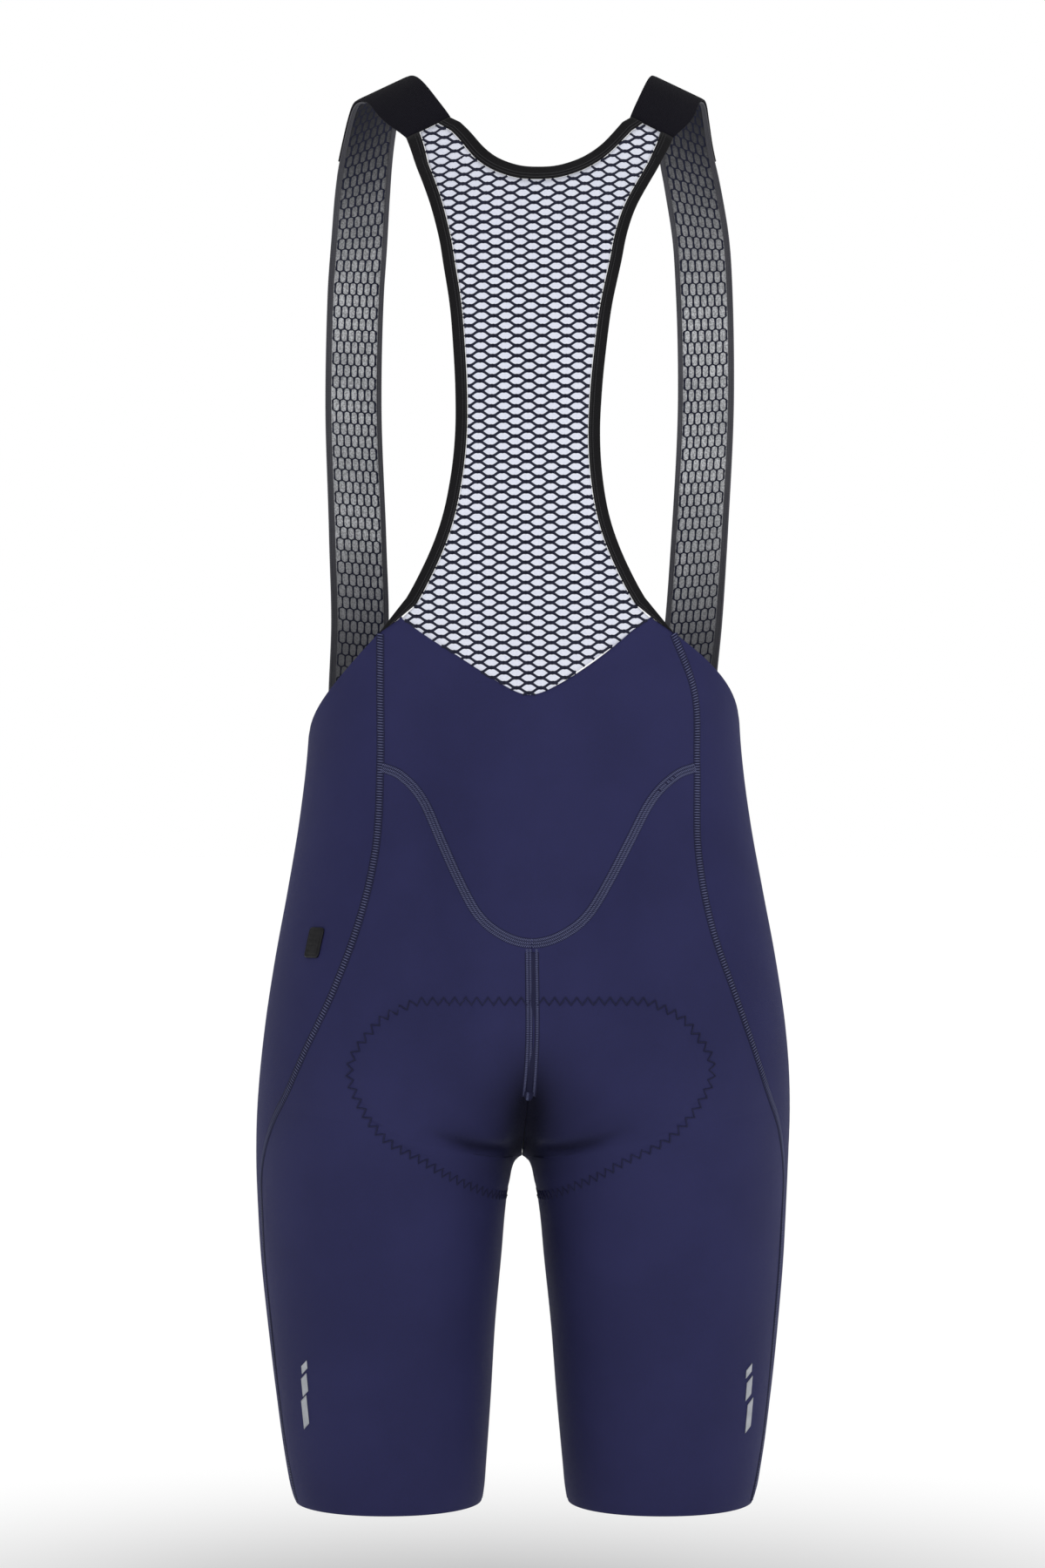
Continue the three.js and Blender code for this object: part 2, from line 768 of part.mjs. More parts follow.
// The tab laid over the strap's end at the shoulder, down to the mesh at the back
function addTab(name, side, across) {
  const ways = [...spread(5, tabBackEnd, strapBackEnd), ...shoulderWays.slice(1, tabSteps + 1)];
  const low = (r) => {
    const over = strapThick + laidGap;
    if (ways[r] >= strapBackEnd) return over;
    return mix(-meshThick, over, ease((ways[r] - tabBackEnd) / (strapBackEnd - tabBackEnd)));
  };
  const high = (r) => low(r) + tabThick;
  addUpper(name, colours.black, side, ways.length, across.length, high, low, (r, c) =>
    onStrap(ways[r], across[c]),
  );
}

// The seat pad, inside: rows along the crotch, each walked outwards over the surface
function addPad() {
  const back = crotchHeights(padBackZ, 13, 1).map((z) => [z, 1]);
  const front = crotchHeights(padFrontZ, 9, -1).map((z) => [z, -1]).reverse().slice(1);
  const line = [...back, ...front];
  const spine = line.map(([z, way]) => {
    const y = z <= crotchZ + 1e-6 ? sectionAt(crotchZ).midY : depthAt(0, z, way);
    return onFigure(new THREE.Vector3(0, y, z));
  });
  const across = [0, 0.13, 0.27, 0.41, 0.55, 0.69, 0.83, 0.95, 1];
  const walk = (start, length) => {
    const stride = 2;
    const p = start.clone();
    const heading = new THREE.Vector3(1, 0, 0);
    const marks = [p.clone()];
    for (let done = 0; done < length; done += stride) {
      const next = onFigure(p.clone().addScaledVector(heading, Math.min(stride, length - done)));
      heading.copy(next).sub(p);
      const n = outwardAt(next);
      heading.addScaledVector(n, -heading.dot(n)).normalize();
      p.copy(next);
      marks.push(p.clone());
    }
    return (share) => {
      const at = share * (marks.length - 1);
      const i = Math.min(Math.floor(at), marks.length - 2);
      return onFigure(marks[i].clone().lerp(marks[i + 1], at - i));
    };
  };
  const walks = spine.map((start, r) => walk(start, along(padRows, r / (spine.length - 1))[0]));
  const ends = [...across.slice(1).map((u) => -u).reverse(), ...across];
  const grid = (inside) =>
    walks.map((place) =>
      ends.map((u) => {
        const p = place(Math.abs(u));
        const full = padEdgeThick + (padThick - padEdgeThick) * (1 - Math.abs(u) ** 4);
        const offset = -panelThick - padGap - (inside ? full : 0);
        return turned(p.clone().addScaledVector(outwardAt(p), offset), Math.sign(u) || 1);
      }),
    );
  addWall("seat_pad", colours.pad, grid(false), grid(true));
}

// A small flat thing stuck on the outside of the shorts: its ends slant up to the right when seen
// from behind, and its corners are cut back by a share of the half size
function addPatch(name, colour, side, x, z, look) {
  const { width, height, slant, corner, steps, thick } = look;
  const centre = new THREE.Vector3(x, depthAt(x, z, 1), z);
  const n = outwardAt(centre);
  const down = new THREE.Vector3(0, 0, -1).addScaledVector(n, n.z).normalize();
  const round = n.clone().cross(down);
  const place = (r, c) => {
    const a = (2 * c) / steps - 1;
    const b = (2 * r) / steps - 1;
    const cut = Math.abs(a * b) > 0.999 ? 1 - corner : 1;
    const over = (a * cut * width) / 2;
    const fall = (b * cut * height) / 2 - (side * a * slant) / 2;
    const p = centre.clone().addScaledVector(round, over).addScaledVector(down, fall);
    return onSurface(onFigure(p));
  };
  addSheet(name, colour, side, steps + 1, steps + 1, patchGap + thick, patchGap, place);
}

addYoke();
addBackLeg("back_leg_left", 1);
addBackLeg("back_leg_right", -1);
addFrontLeg("front_leg_left", 1);
addFrontLeg("front_leg_right", -1);
addPad();
addMeshBack();
addBindings();
addStraps();
addPatch("hip_label", colours.black, 1, hipLabel.left, hipLabel.z, hipLabel);
for (const [name, side] of [["left", 1], ["right", -1]]) {
  const drop = side > 0 ? 0 : reflector.rightDrop;
  reflectorRows.forEach(([z, height], k) => {
    const look = { ...reflector, height };
    addPatch(`reflector_${name}_${k + 1}`, colours.silver, side, reflector[name], z - drop, look);
  });
}

export default group;
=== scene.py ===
# Cycling bib shorts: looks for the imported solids. Tables are in millimetres, the scene in metres.
import math
import bpy
import numpy as np
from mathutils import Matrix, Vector
from mathutils.bvhtree import BVHTree
from mathutils.kdtree import KDTree


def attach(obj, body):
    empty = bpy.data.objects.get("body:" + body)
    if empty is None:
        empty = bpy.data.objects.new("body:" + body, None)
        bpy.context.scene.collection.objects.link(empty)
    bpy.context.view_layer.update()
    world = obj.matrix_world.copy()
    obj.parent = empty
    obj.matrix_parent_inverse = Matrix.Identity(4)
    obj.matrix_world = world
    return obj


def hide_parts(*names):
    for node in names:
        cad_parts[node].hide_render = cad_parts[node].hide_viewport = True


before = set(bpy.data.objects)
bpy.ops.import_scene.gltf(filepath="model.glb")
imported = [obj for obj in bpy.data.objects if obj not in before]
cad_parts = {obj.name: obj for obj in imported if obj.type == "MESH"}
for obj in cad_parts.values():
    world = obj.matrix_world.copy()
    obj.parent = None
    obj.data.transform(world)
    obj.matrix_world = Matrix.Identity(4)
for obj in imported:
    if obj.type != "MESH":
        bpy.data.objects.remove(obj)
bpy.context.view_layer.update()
print("frame loaded with", len(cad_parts), "nodes")

# the photograph's view: level, from behind the wearer
cameraView = {"side": 0.0017, "distance": 2.8, "height": -0.4575, "lens": 99.12, "film": 36.0}
cameraData = bpy.data.cameras.new("backView")
cameraData.lens = cameraView["lens"]
cameraData.sensor_width = cameraView["film"]
cameraData.clip_end = 60.0
camera = bpy.data.objects.new("backView", cameraData)
camera.location = (cameraView["side"], cameraView["distance"], cameraView["height"])
camera.rotation_euler = (math.pi / 2, 0.0, math.pi)  # looks at the wearer's back
bpy.context.scene.collection.objects.link(camera)
bpy.context.scene.camera = camera
bpy.context.scene.view_settings.view_transform = "Standard"  # keeps the white ground white

# The form under the cloth is a tube for each leg, and the two melt together at the hips.
# height, the tube's outer and inner side, its back and front, the power of its section, melting width
figureRows = [
    (-60, 152, -104, 74, -72, 2.5, 6), (-110, 161, -110, 87, -92, 2.5, 6),
    (-165, 164, -112, 93, -103, 2.5, 6), (-230, 158, -108, 93, -108, 2.5, 6),
    (-300, 147, -102, 86, -109, 2.5, 6), (-360, 140.5, -96, 79, -111, 2.45, 8),
    (-424, 140.5, -90, 76, -114, 2.4, 10), (-480, 146.5, -84, 83, -116, 2.35, 14),
    (-525, 154, -76, 93, -115, 2.3, 20), (-570, 162, -66, 105, -112, 2.25, 28),
    (-615, 168.3, -51, 114, -107, 2.2, 36), (-645, 171, -32, 115, -103, 2.15, 36),
    (-670, 172.2, -13, 109, -100, 2.1, 30), (-697, 172.2, 5, 100, -97, 2.1, 20),
    (-729, 171.2, 10.4, 93, -94, 2.1, 20), (-763, 169.5, 13.6, 88, -91, 2.1, 20),
    (-808, 165.3, 18.1, 82, -86, 2.1, 20), (-853, 160, 21.3, 77, -79, 2.1, 20),
    (-898, 153.6, 25, 72, -71, 2.1, 20), (-912, 151, 26.2, 70.5, -69, 2.1, 20),
    (-921, 148.4, 27.6, 69, -67.5, 2.1, 20),
]
# the garment sits a little turned: height, shift to the left, more shift for each 100 mm behind, and in front
turnRows = [
    (0, -3.4, -8, -6), (-20, -3.2, -10, -5.5), (-44, -2.9, -12, -4.5), (-68, -3.1, -6.8, -2),
    (-92, -3.8, -2, -0.8), (-130, -3.8, -0.6, -0.6), (-212, -2.6, 0.5, 0.5), (-300, -1.3, 1.1, 1.1),
    (-350, -0.8, 0.4, 0.4), (-402, 0, -3.2, -3.2), (-450, 0, -4, -4), (-557, 0, -4, -4),
    (-629, 0.8, -4.4, -4.4), (-672, 1.6, -3, -3), (-697, 2, -1.5, -1.5), (-740, 1.8, 0, 0),
    (-921, 0.5, 0, 0),
]
# seam between back and side: height, distance, lean to the left
sideSeamRows = [
    (-361, 92.6, 0), (-397, 99.6, -5.8), (-447, 100.6, -6.2), (-503, 102.5, -4.2),
    (-549, 112.2, -2.6), (-585, 125, -1.9), (-629, 143, 0), (-652, 152, 0), (-672, 160.5, 0),
    (-698, 166.5, 0), (-740, 166.5, 0), (-808, 161.5, 0), (-898, 150.6, 0), (-921, 145.6, 0),
]
# curved seam over the seat, and the front top edge: fraction of the way across, height
seatSeamRows = [
    (-0.15, -552.6), (0, -557), (0.15, -552.6), (0.31, -539), (0.445, -517.3), (0.575, -493),
    (0.7, -468), (0.848, -452.5), (1, -446.5),
]
frontTopRows = [
    (0, -361), (0.045, -373), (0.11, -389), (0.2, -407), (0.31, -423), (0.42, -431),
    (0.6, -438), (0.8, -443), (1, -446),
]
# bound side edge of the mesh back: height, distance; its neck edge: distance, height
meshSideRows = [
    (-46, 85), (-66, 77), (-79, 71), (-92, 65.4), (-113.5, 59), (-130, 56), (-157, 51),
    (-184.5, 48), (-212, 46), (-239, 45.6), (-266, 48), (-294, 54), (-321, 65), (-348, 81),
    (-361, 92),
]
neckRows = [
    (-14.3, -66.4), (0, -68), (14.3, -66.4), (37, -53.8), (48, -41.3), (57.3, -31),
]
# strap and tab: degrees round the shoulder and on below it, inner and outer edge
strapRows = [
    (-51.5, 57.3, 85), (-39, 64.6, 97), (-19, 73.4, 106), (0, 80, 112.6), (20, 83.4, 117),
    (35, 85.2, 120.5), (48, 87.5, 124.2), (85, 95.6, 132), (134, 99.3, 135.2), (180, 95.4, 131.4),
    (210, 92.2, 128.4), (264, 89.6, 126),
]
# seat pad: way along the crotch, half width
padRows = [
    (0, 72), (0.03, 92), (0.07, 104), (0.106, 113), (0.152, 115), (0.19, 109), (0.245, 94), (0.3, 73),
    (0.37, 54), (0.46, 40), (0.545, 31), (0.66, 30), (0.78, 35), (0.88, 38), (0.95, 34), (1, 24),
]
# heights, places and gaps that several pieces share; ways round the shoulder are in degrees
fit = {
    "hem": -921, "crotch": -697, "crotchSide": -664, "seamGap": 0.3,
    "meshPoint": -402.6, "meshCorner": -353, "meshCornerAt": 0.853,
    "ridgeAt": 74.7, "ridgeFall": 0.468, "shoulderDrop": 110, "levelDrop": 140,
    "tabBackEnd": -51.5, "strapBackEnd": -14, "strapLift": 0.7, "strapLap": 12,
    "padBack": -593, "padFront": -640, "padGap": 2.6,
}
bothSides = (("left", 1), ("right", -1))


def along(rows, at):  # a table's other columns, joined smoothly from row to row
    rows = np.asarray(rows, float)
    way = 1.0 if rows[1, 0] > rows[0, 0] else -1.0
    knots = way * rows[:, 0]
    values = rows[:, 1:]
    step = np.diff(knots)[:, None]
    slope = np.diff(values, axis=0) / step
    tangent = np.empty_like(values)
    tangent[0], tangent[-1] = slope[0], slope[-1]
    tangent[1:-1] = (slope[:-1] * step[1:] + slope[1:] * step[:-1]) / (step[1:] + step[:-1])
    place = np.clip(way * np.asarray(at, float), knots[0], knots[-1])
    i = np.clip(np.searchsorted(knots, place, side="right") - 1, 0, len(knots) - 2)
    h = step[i, 0]
    u = ((place - knots[i]) / h)[..., None]
    h = h[..., None]
    low, high = values[i], values[i + 1]
    rise = (2 * u**3 - 3 * u**2 + 1) * low + (u**3 - 2 * u**2 + u) * h * tangent[i]
    return rise + (3 * u**2 - 2 * u**3) * high + (u**3 - u**2) * h * tangent[i + 1]


def sectionAt(z):
    outer, inner, back, front, power, blend = np.moveaxis(along(figureRows, z), -1, 0)
    return (outer + inner) / 2, (back + front) / 2, (outer - inner) / 2, (back - front) / 2, power, blend


def tubeAt(s, x, y):
    across = np.abs((x - s[0]) / s[2]) ** s[4]
    deep = np.abs((y - s[1]) / s[3]) ** s[4]
    return ((across + deep) ** (1 / s[4]) - 1) * np.minimum(s[2], s[3])


def figureAt(s, x, y):  # negative inside the form
    left, right = tubeAt(s, x, y), tubeAt(s, -x, y)
    near = np.maximum(s[5] - np.abs(left - right), 0) / s[5]
    return np.minimum(left, right) - near * near * s[5] / 4


def slopeAt(p):
    e = 0.05
    x, y, z = p[..., 0], p[..., 1], p[..., 2]
    s = sectionAt(z)
    return np.stack([
        figureAt(s, x + e, y) - figureAt(s, x - e, y),
        figureAt(s, x, y + e) - figureAt(s, x, y - e),
        figureAt(sectionAt(z + e), x, y) - figureAt(sectionAt(z - e), x, y),
    ], -1) / (2 * e)


def unit(v):
    return v / np.maximum(np.linalg.norm(v, axis=-1, keepdims=True), 1e-12)


def outwardAt(p):
    return unit(slopeAt(p))


def onFigure(p, turns=8):  # nearest place on the form
    p = np.array(p, float)
    for _ in range(turns):
        g = slopeAt(p)
        away = figureAt(sectionAt(p[..., 2]), p[..., 0], p[..., 1])
        p -= g * (away / np.maximum((g * g).sum(-1), 1e-9))[..., None]
    return p


def passes(f, low, high):  # where a rising function passes nothing
    for _ in range(30):
        middle = (low + high) / 2
        below = f(middle) < 0
        low = np.where(below, middle, low)
        high = np.where(below, high, middle)
    return (low + high) / 2


def depthAt(x, z, way):
    x, z = np.broadcast_arrays(np.asarray(x, float), np.asarray(z, float))
    s = sectionAt(z)
    r = passes(lambda d: figureAt(s, x, s[1] + way * d), np.zeros(x.shape), np.full(x.shape, 200.0))
    return s[1] + way * r


def slicesAt(z):  # the left half of level cuts, from the centre back round to the front
    z = np.asarray(z, float).ravel()
    s = sectionAt(z)
    above = z > fit["crotch"]
    zz = np.where(above, z, fit["crotch"] + 1)
    back = np.arctan2(np.maximum(depthAt(0 * z, zz, 1) - s[1], 1e-4), -s[0])
    front = -np.arctan2(np.maximum(s[1] - depthAt(0 * z, zz, -1), 1e-4), -s[0])
    first = np.where(above, back, math.pi)
    last = np.where(above, front, -math.pi)
    angles = first[:, None] + (last - first)[:, None] * np.linspace(0, 1, 57)
    places = reach(angles, z[:, None] + 0 * angles)
    walked = np.zeros(angles.shape)
    walked[:, 1:] = np.cumsum(np.linalg.norm(np.diff(places, axis=1), axis=2), axis=1)
    return {"z": z, "angles": angles, "places": places, "walked": walked, "length": walked[:, -1]}


def reach(angles, z):
    s = sectionAt(z)
    c, d = np.cos(angles), np.sin(angles)
    far = np.where(c < 0, np.minimum(s[0] / np.maximum(-c, 1e-9), 240.0), 240.0)
    r = passes(lambda q: figureAt(s, s[0] + q * c, s[1] + q * d), np.zeros(far.shape), far)
    return np.stack([s[0] + r * c, s[1] + r * d, z], -1)


def cutShare(row, value):  # step and share of a value in rising rows
    i = np.clip((row < value[:, None]).sum(1), 1, row.shape[1] - 1)
    n = np.arange(len(i))
    low, high = row[n, i - 1], row[n, i]
    return n, i, (value - low) / np.maximum(high - low, 1e-9)


def placeOn(slices, length):
    n, i, share = cutShare(slices["walked"], length)
    a = slices["angles"]
    return reach(a[n, i - 1] + (a[n, i] - a[n, i - 1]) * share, slices["z"])


def seamOn(slices, side):
    distance, lean = np.moveaxis(along(sideSeamRows, slices["z"]), -1, 0)
    x = distance + side * lean
    xs = slices["places"][:, :, 0]
    i = np.argmax(xs[:, 1:-1] >= x[:, None], axis=1) + 1
    n = np.arange(len(i))
    share = (x - xs[n, i - 1]) / (xs[n, i] - xs[n, i - 1])
    w = slices["walked"]
    return w[n, i - 1] + (w[n, i] - w[n, i - 1]) * share


def turned(p, side):
    shift, back, front = np.moveaxis(along(turnRows, p[..., 2]), -1, 0)
    twist = np.where(p[..., 1] > 0, back, front)
    return np.stack([side * p[..., 0] + shift + twist * p[..., 1] / 100, p[..., 1], p[..., 2]], -1)


def unturned(p, side):  # back to the half form that both sides are made from
    moved = turned(p * (side, 1, 1), side)[..., 0] - p[..., 0]
    return np.stack([side * (p[..., 0] - moved), p[..., 1], p[..., 2]], -1)


def mix(a, b, t):
    return a + (b - a) * t


def ease(t):
    t = np.clip(t, 0, 1)
    return t * t * (3 - 2 * t)


def walkAlong(path):  # length from the start of a path to each of its places
    return np.concatenate([[0], np.cumsum(np.linalg.norm(np.diff(path, axis=0), axis=1))])


def placesAt(at, walked, path):
    return np.stack([np.interp(at, walked, column) for column in path.T], -1)


def crotchHeights(topZ, steps, way):
    heights = mix(topZ, fit["crotch"], 1 - (1 - np.linspace(0, 1, 161)) ** 3)
    ys = depthAt(0 * heights, np.maximum(heights, fit["crotch"] + 1e-9), way)
    ys[-1] = sectionAt(np.array(fit["crotch"]))[1]
    walked = np.concatenate([[0], np.cumsum(np.hypot(np.diff(heights), np.diff(ys)))])
    return np.interp(np.linspace(0, walked[-1], steps + 1), walked, heights)


def socketsOf(tree, names):
    for name, kind, way, value in names:
        made = tree.interface.new_socket(name=name, in_out=way, socket_type=kind)
        if value is not None:
            made.default_value = value


def mathNode(tree, kind, first, second=None, clamp=False):
    node = tree.nodes.new("ShaderNodeMath")
    node.operation = kind
    node.use_clamp = clamp
    for slot, value in ((0, first), (1, second)):
        if value is None:
            continue
        if isinstance(value, (int, float)):
            node.inputs[slot].default_value = value
        else:
            tree.links.new(value, node.inputs[slot])
    return node.outputs[0]


def colourMix(tree, amount, first, second):
    node = tree.nodes.new("ShaderNodeMix")
    node.data_type = "RGBA"
    for name, value in (("Factor", amount), ("A", first), ("B", second)):
        slot = [s for s in node.inputs if s.name == name and (s.type == "RGBA") == (name != "Factor")][0]
        if isinstance(value, (int, float)):
            slot.default_value = value
        elif isinstance(value, (tuple, list)):
            slot.default_value = (*value, 1.0)
        else:
            tree.links.new(value, slot)
    return [s for s in node.outputs if s.type == "RGBA"][0]


def rampNode(tree, value, low, high, toLow=0.0, toHigh=1.0):
    node = tree.nodes.new("ShaderNodeMapRange")
    node.interpolation_type = "SMOOTHSTEP"
    for name, number in (("From Min", low), ("From Max", high), ("To Min", toLow), ("To Max", toHigh)):
        node.inputs[name].default_value = number
    tree.links.new(value, node.inputs["Value"])
    return node.outputs["Result"]


def makeKnitGroup():  # fine wale ribs with loops across them: Height and Shade
    group = bpy.data.node_groups.new("knitLoops", "ShaderNodeTree")
    socketsOf(group, [
        ("Vector", "NodeSocketVector", "INPUT", None),
        ("Wales per metre", "NodeSocketFloat", "INPUT", 2000.0),
        ("Courses per metre", "NodeSocketFloat", "INPUT", 1500.0),
        ("Unevenness", "NodeSocketFloat", "INPUT", 0.3),
        ("Height", "NodeSocketFloat", "OUTPUT", None),
        ("Shade", "NodeSocketFloat", "OUTPUT", None),
    ])
    start = group.nodes.new("NodeGroupInput")
    end = group.nodes.new("NodeGroupOutput")
    parts = group.nodes.new("ShaderNodeSeparateXYZ")
    group.links.new(start.outputs["Vector"], parts.inputs[0])
    noise = group.nodes.new("ShaderNodeTexNoise")
    noise.inputs["Scale"].default_value = 900.0
    noise.inputs["Detail"].default_value = 3.0
    group.links.new(start.outputs["Vector"], noise.inputs["Vector"])
    waver = mathNode(group, "MULTIPLY", mathNode(group, "SUBTRACT", noise.outputs["Fac"], 0.5),
                     start.outputs["Unevenness"])
    wale = mathNode(group, "ADD", mathNode(group, "MULTIPLY", parts.outputs["X"],
                                           start.outputs["Wales per metre"]), waver)
    wale = mathNode(group, "ABSOLUTE", mathNode(group, "SINE", mathNode(group, "MULTIPLY", wale, math.pi)))
    course = mathNode(group, "MULTIPLY", parts.outputs["Y"], start.outputs["Courses per metre"])
    lean = mathNode(group, "MULTIPLY", wale, 0.6)
    course = mathNode(group, "MULTIPLY", mathNode(group, "ADD", course, lean), 2 * math.pi)
    course = mathNode(group, "SINE", course)
    course = mathNode(group, "MULTIPLY_ADD", course, 0.25)
    course.node.inputs[2].default_value = 0.5
    height = mathNode(group, "ADD", mathNode(group, "MULTIPLY", wale, 0.7), course)
    group.links.new(height, end.inputs["Height"])
    shade = rampNode(group, height, 0.2, 1.3)
    shade = mathNode(group, "ADD", shade, waver, clamp=True)
    group.links.new(shade, end.inputs["Shade"])
    return group


def makeToneGroup():  # slow changes of tone over the cloth, and fine flecks: Mask and Flecks
    group = bpy.data.node_groups.new("clothTone", "ShaderNodeTree")
    socketsOf(group, [
        ("Vector", "NodeSocketVector", "INPUT", None),
        ("Patch size", "NodeSocketFloat", "INPUT", 0.06),
        ("Fleck size", "NodeSocketFloat", "INPUT", 0.0008),
        ("Mask", "NodeSocketFloat", "OUTPUT", None),
        ("Flecks", "NodeSocketFloat", "OUTPUT", None),
    ])
    start = group.nodes.new("NodeGroupInput")
    end = group.nodes.new("NodeGroupOutput")
    for name, size, low, high in (("Mask", "Patch size", 0.3, 0.7), ("Flecks", "Fleck size", 0.35, 0.65)):
        noise = group.nodes.new("ShaderNodeTexNoise")
        noise.inputs["Detail"].default_value = 4.0
        group.links.new(start.outputs["Vector"], noise.inputs["Vector"])
        group.links.new(mathNode(group, "DIVIDE", 1.0, start.outputs[size]), noise.inputs["Scale"])
        group.links.new(rampNode(group, noise.outputs["Fac"], low, high), end.inputs[name])
    return group


knitLoops = makeKnitGroup()
clothTone = makeToneGroup()


def placeGroup(tree, group, vector, values):
    node = tree.nodes.new("ShaderNodeGroup")
    node.node_tree = group
    tree.links.new(vector, node.inputs["Vector"])
    for name, value in values.items():
        node.inputs[name].default_value = value
    return node


def startMaterial(name, sockets):
    material = bpy.data.materials.new(name)
    material.use_nodes = True
    tree = material.node_tree
    shader = tree.nodes["Principled BSDF"]
    for key, value in sockets.items():
        shader.inputs[key].default_value = (*value, 1.0) if isinstance(value, tuple) else value
    weave = tree.nodes.new("ShaderNodeUVMap")
    weave.uv_map = "weave"
    place = tree.nodes.new("ShaderNodeTexCoord")
    return material, tree, shader, weave.outputs["UV"], place.outputs["Object"]


def bumpFrom(tree, shader, height, distance, strength=0.6):
    bump = tree.nodes.new("ShaderNodeBump")
    bump.inputs["Distance"].default_value = distance
    bump.inputs["Strength"].default_value = strength
    tree.links.new(height, bump.inputs["Height"])
    tree.links.new(bump.outputs["Normal"], shader.inputs["Normal"])


# each knit's colours, its ribs and loops for a metre, and its bump in metres
navySheen = {"Sheen Weight": 0.1, "Sheen Roughness": 0.4, "Sheen Tint": (0.25, 0.27, 0.6),
             "Specular IOR Level": 0.14}
plainKnit = {"patch": 0.06, "patchAmount": 0.3, "uneven": 0.3, "fleck": 0.0007, "fleckAmount": 0.2,
             "rough": (0.62, 0.8)}
knitLooks = {
    "navyStretchKnit": {
        "dark": (0.0185, 0.0195, 0.073), "light": (0.028, 0.029, 0.099),
        "wales": 2600, "courses": 1900, "bump": 0.00012, "sockets": navySheen},
    # a little darker copy of the navy knit for the side panels: painted shade
    "navyKnitShadedSide": {
        "dark": (0.0175, 0.0185, 0.072), "light": (0.0265, 0.0275, 0.097),
        "wales": 2600, "courses": 1900, "bump": 0.00012, "sockets": navySheen},
    "paleMeshGround": {
        "dark": (0.595, 0.615, 0.775), "light": (0.835, 0.865, 0.99),
        "wales": 1500, "courses": 1100, "bump": 0.0001, "patchAmount": 0.0, "fleckAmount": 0.35,
        "sockets": {"Specular IOR Level": 0.2}},
    "darkNetYarn": {
        "dark": (0.005, 0.006, 0.015), "light": (0.02, 0.022, 0.045),
        "wales": 2400, "courses": 2400, "bump": 0.0001, "patchAmount": 0.1, "fleckAmount": 0.1,
        "sockets": {"Specular IOR Level": 0.15}},
    "blackTabKnit": {
        "dark": (0.0048, 0.0046, 0.0075), "light": (0.0105, 0.0098, 0.0148),
        "wales": 900, "courses": 700, "bump": 0.0004, "uneven": 1.1, "fleckAmount": 0.1,
        "sockets": {"Sheen Weight": 0.01, "Sheen Roughness": 0.5, "Specular IOR Level": 0.04}},
    "blackBindingTape": {
        "dark": (0.0035, 0.0034, 0.0042), "light": (0.0095, 0.009, 0.0105),
        "wales": 1600, "courses": 800, "bump": 0.00022, "uneven": 0.15, "fleckAmount": 0.06,
        "sockets": {"Sheen Weight": 0.04, "Specular IOR Level": 0.12}},
    "darkSelvedgeRib": {
        "dark": (0.022, 0.022, 0.03), "light": (0.1, 0.1, 0.115),
        "wales": 1100, "courses": 900, "bump": 0.0003, "uneven": 0.2,
        "sockets": {"Specular IOR Level": 0.25}},
    "brushedPadCover": {
        "dark": (0.035, 0.04, 0.07), "light": (0.06, 0.066, 0.11),
        "wales": 1300, "courses": 1000, "bump": 0.0002,
        "sockets": {"Sheen Weight": 0.3, "Specular IOR Level": 0.2}},
    "navySeamThread": {
        "dark": (0.055, 0.06, 0.15), "light": (0.14, 0.155, 0.3),
        "wales": 3500, "courses": 3500, "bump": 0.00006, "sockets": {"Specular IOR Level": 0.45}},
    # cover thread darker than the cloth: the seam band's own thread, with painted shade along the seam
    "darkCoverThreadAndSeamShade": {
        "dark": (0.006, 0.0065, 0.026), "light": (0.018, 0.019, 0.062),
        "wales": 1200, "courses": 870, "bump": 0.00025, "uneven": 0.2, "fleckAmount": 0.1,
        "sockets": {"Specular IOR Level": 0.2}},
    "darkZigzagThread": {
        "dark": (0.007, 0.0075, 0.027), "light": (0.019, 0.02, 0.064),
        "wales": 3500, "courses": 3500, "bump": 0.00006, "fleckAmount": 0.1,
        "sockets": {"Specular IOR Level": 0.2}},
    "blackCoverThread": {
        "dark": (0.006, 0.006, 0.008), "light": (0.03, 0.03, 0.034),
        "wales": 3500, "courses": 3500, "bump": 0.00006, "sockets": {"Specular IOR Level": 0.45}},
}
# painted shade in the cleft, the folds and inside the right leg: how strongly and how dark
creaseShade = {"amount": 0.92, "colour": (0.0012, 0.0012, 0.005)}


def knitMaterial(name, withPaintedShade=False):
    look = {**plainKnit, **knitLooks[name]}
    material, tree, shader, weave, place = startMaterial(name, look["sockets"])
    knit = placeGroup(tree, knitLoops, weave, {
        "Wales per metre": look["wales"], "Courses per metre": look["courses"], "Unevenness": look["uneven"]})
    tone = placeGroup(tree, clothTone, place, {"Patch size": look["patch"], "Fleck size": look["fleck"]})
    dark, light = look["dark"], look["light"]
    base = colourMix(tree, knit.outputs["Shade"], dark, light)
    slow = mathNode(tree, "MULTIPLY", tone.outputs["Mask"], look["patchAmount"])
    base = colourMix(tree, slow, base, tuple(c * 0.62 for c in dark))
    fine = mathNode(tree, "MULTIPLY", tone.outputs["Flecks"], look["fleckAmount"])
    base = colourMix(tree, fine, base, tuple(min(c * 1.5, 1) for c in light))
    if withPaintedShade:  # painted shade: darker in the cleft, the folds and inside the right leg, where the panel's painted-shade attribute says so
        paintedShade = tree.nodes.new("ShaderNodeAttribute")
        paintedShade.attribute_name = "paintedShade"
        amount = mathNode(tree, "MULTIPLY", paintedShade.outputs["Fac"], creaseShade["amount"])
        base = colourMix(tree, amount, base, creaseShade["colour"])
    tree.links.new(base, shader.inputs["Base Color"])
    tree.links.new(rampNode(tree, tone.outputs["Flecks"], 0.0, 1.0, *look["rough"]), shader.inputs["Roughness"])
    bumpFrom(tree, shader, knit.outputs["Height"], look["bump"])
    return material


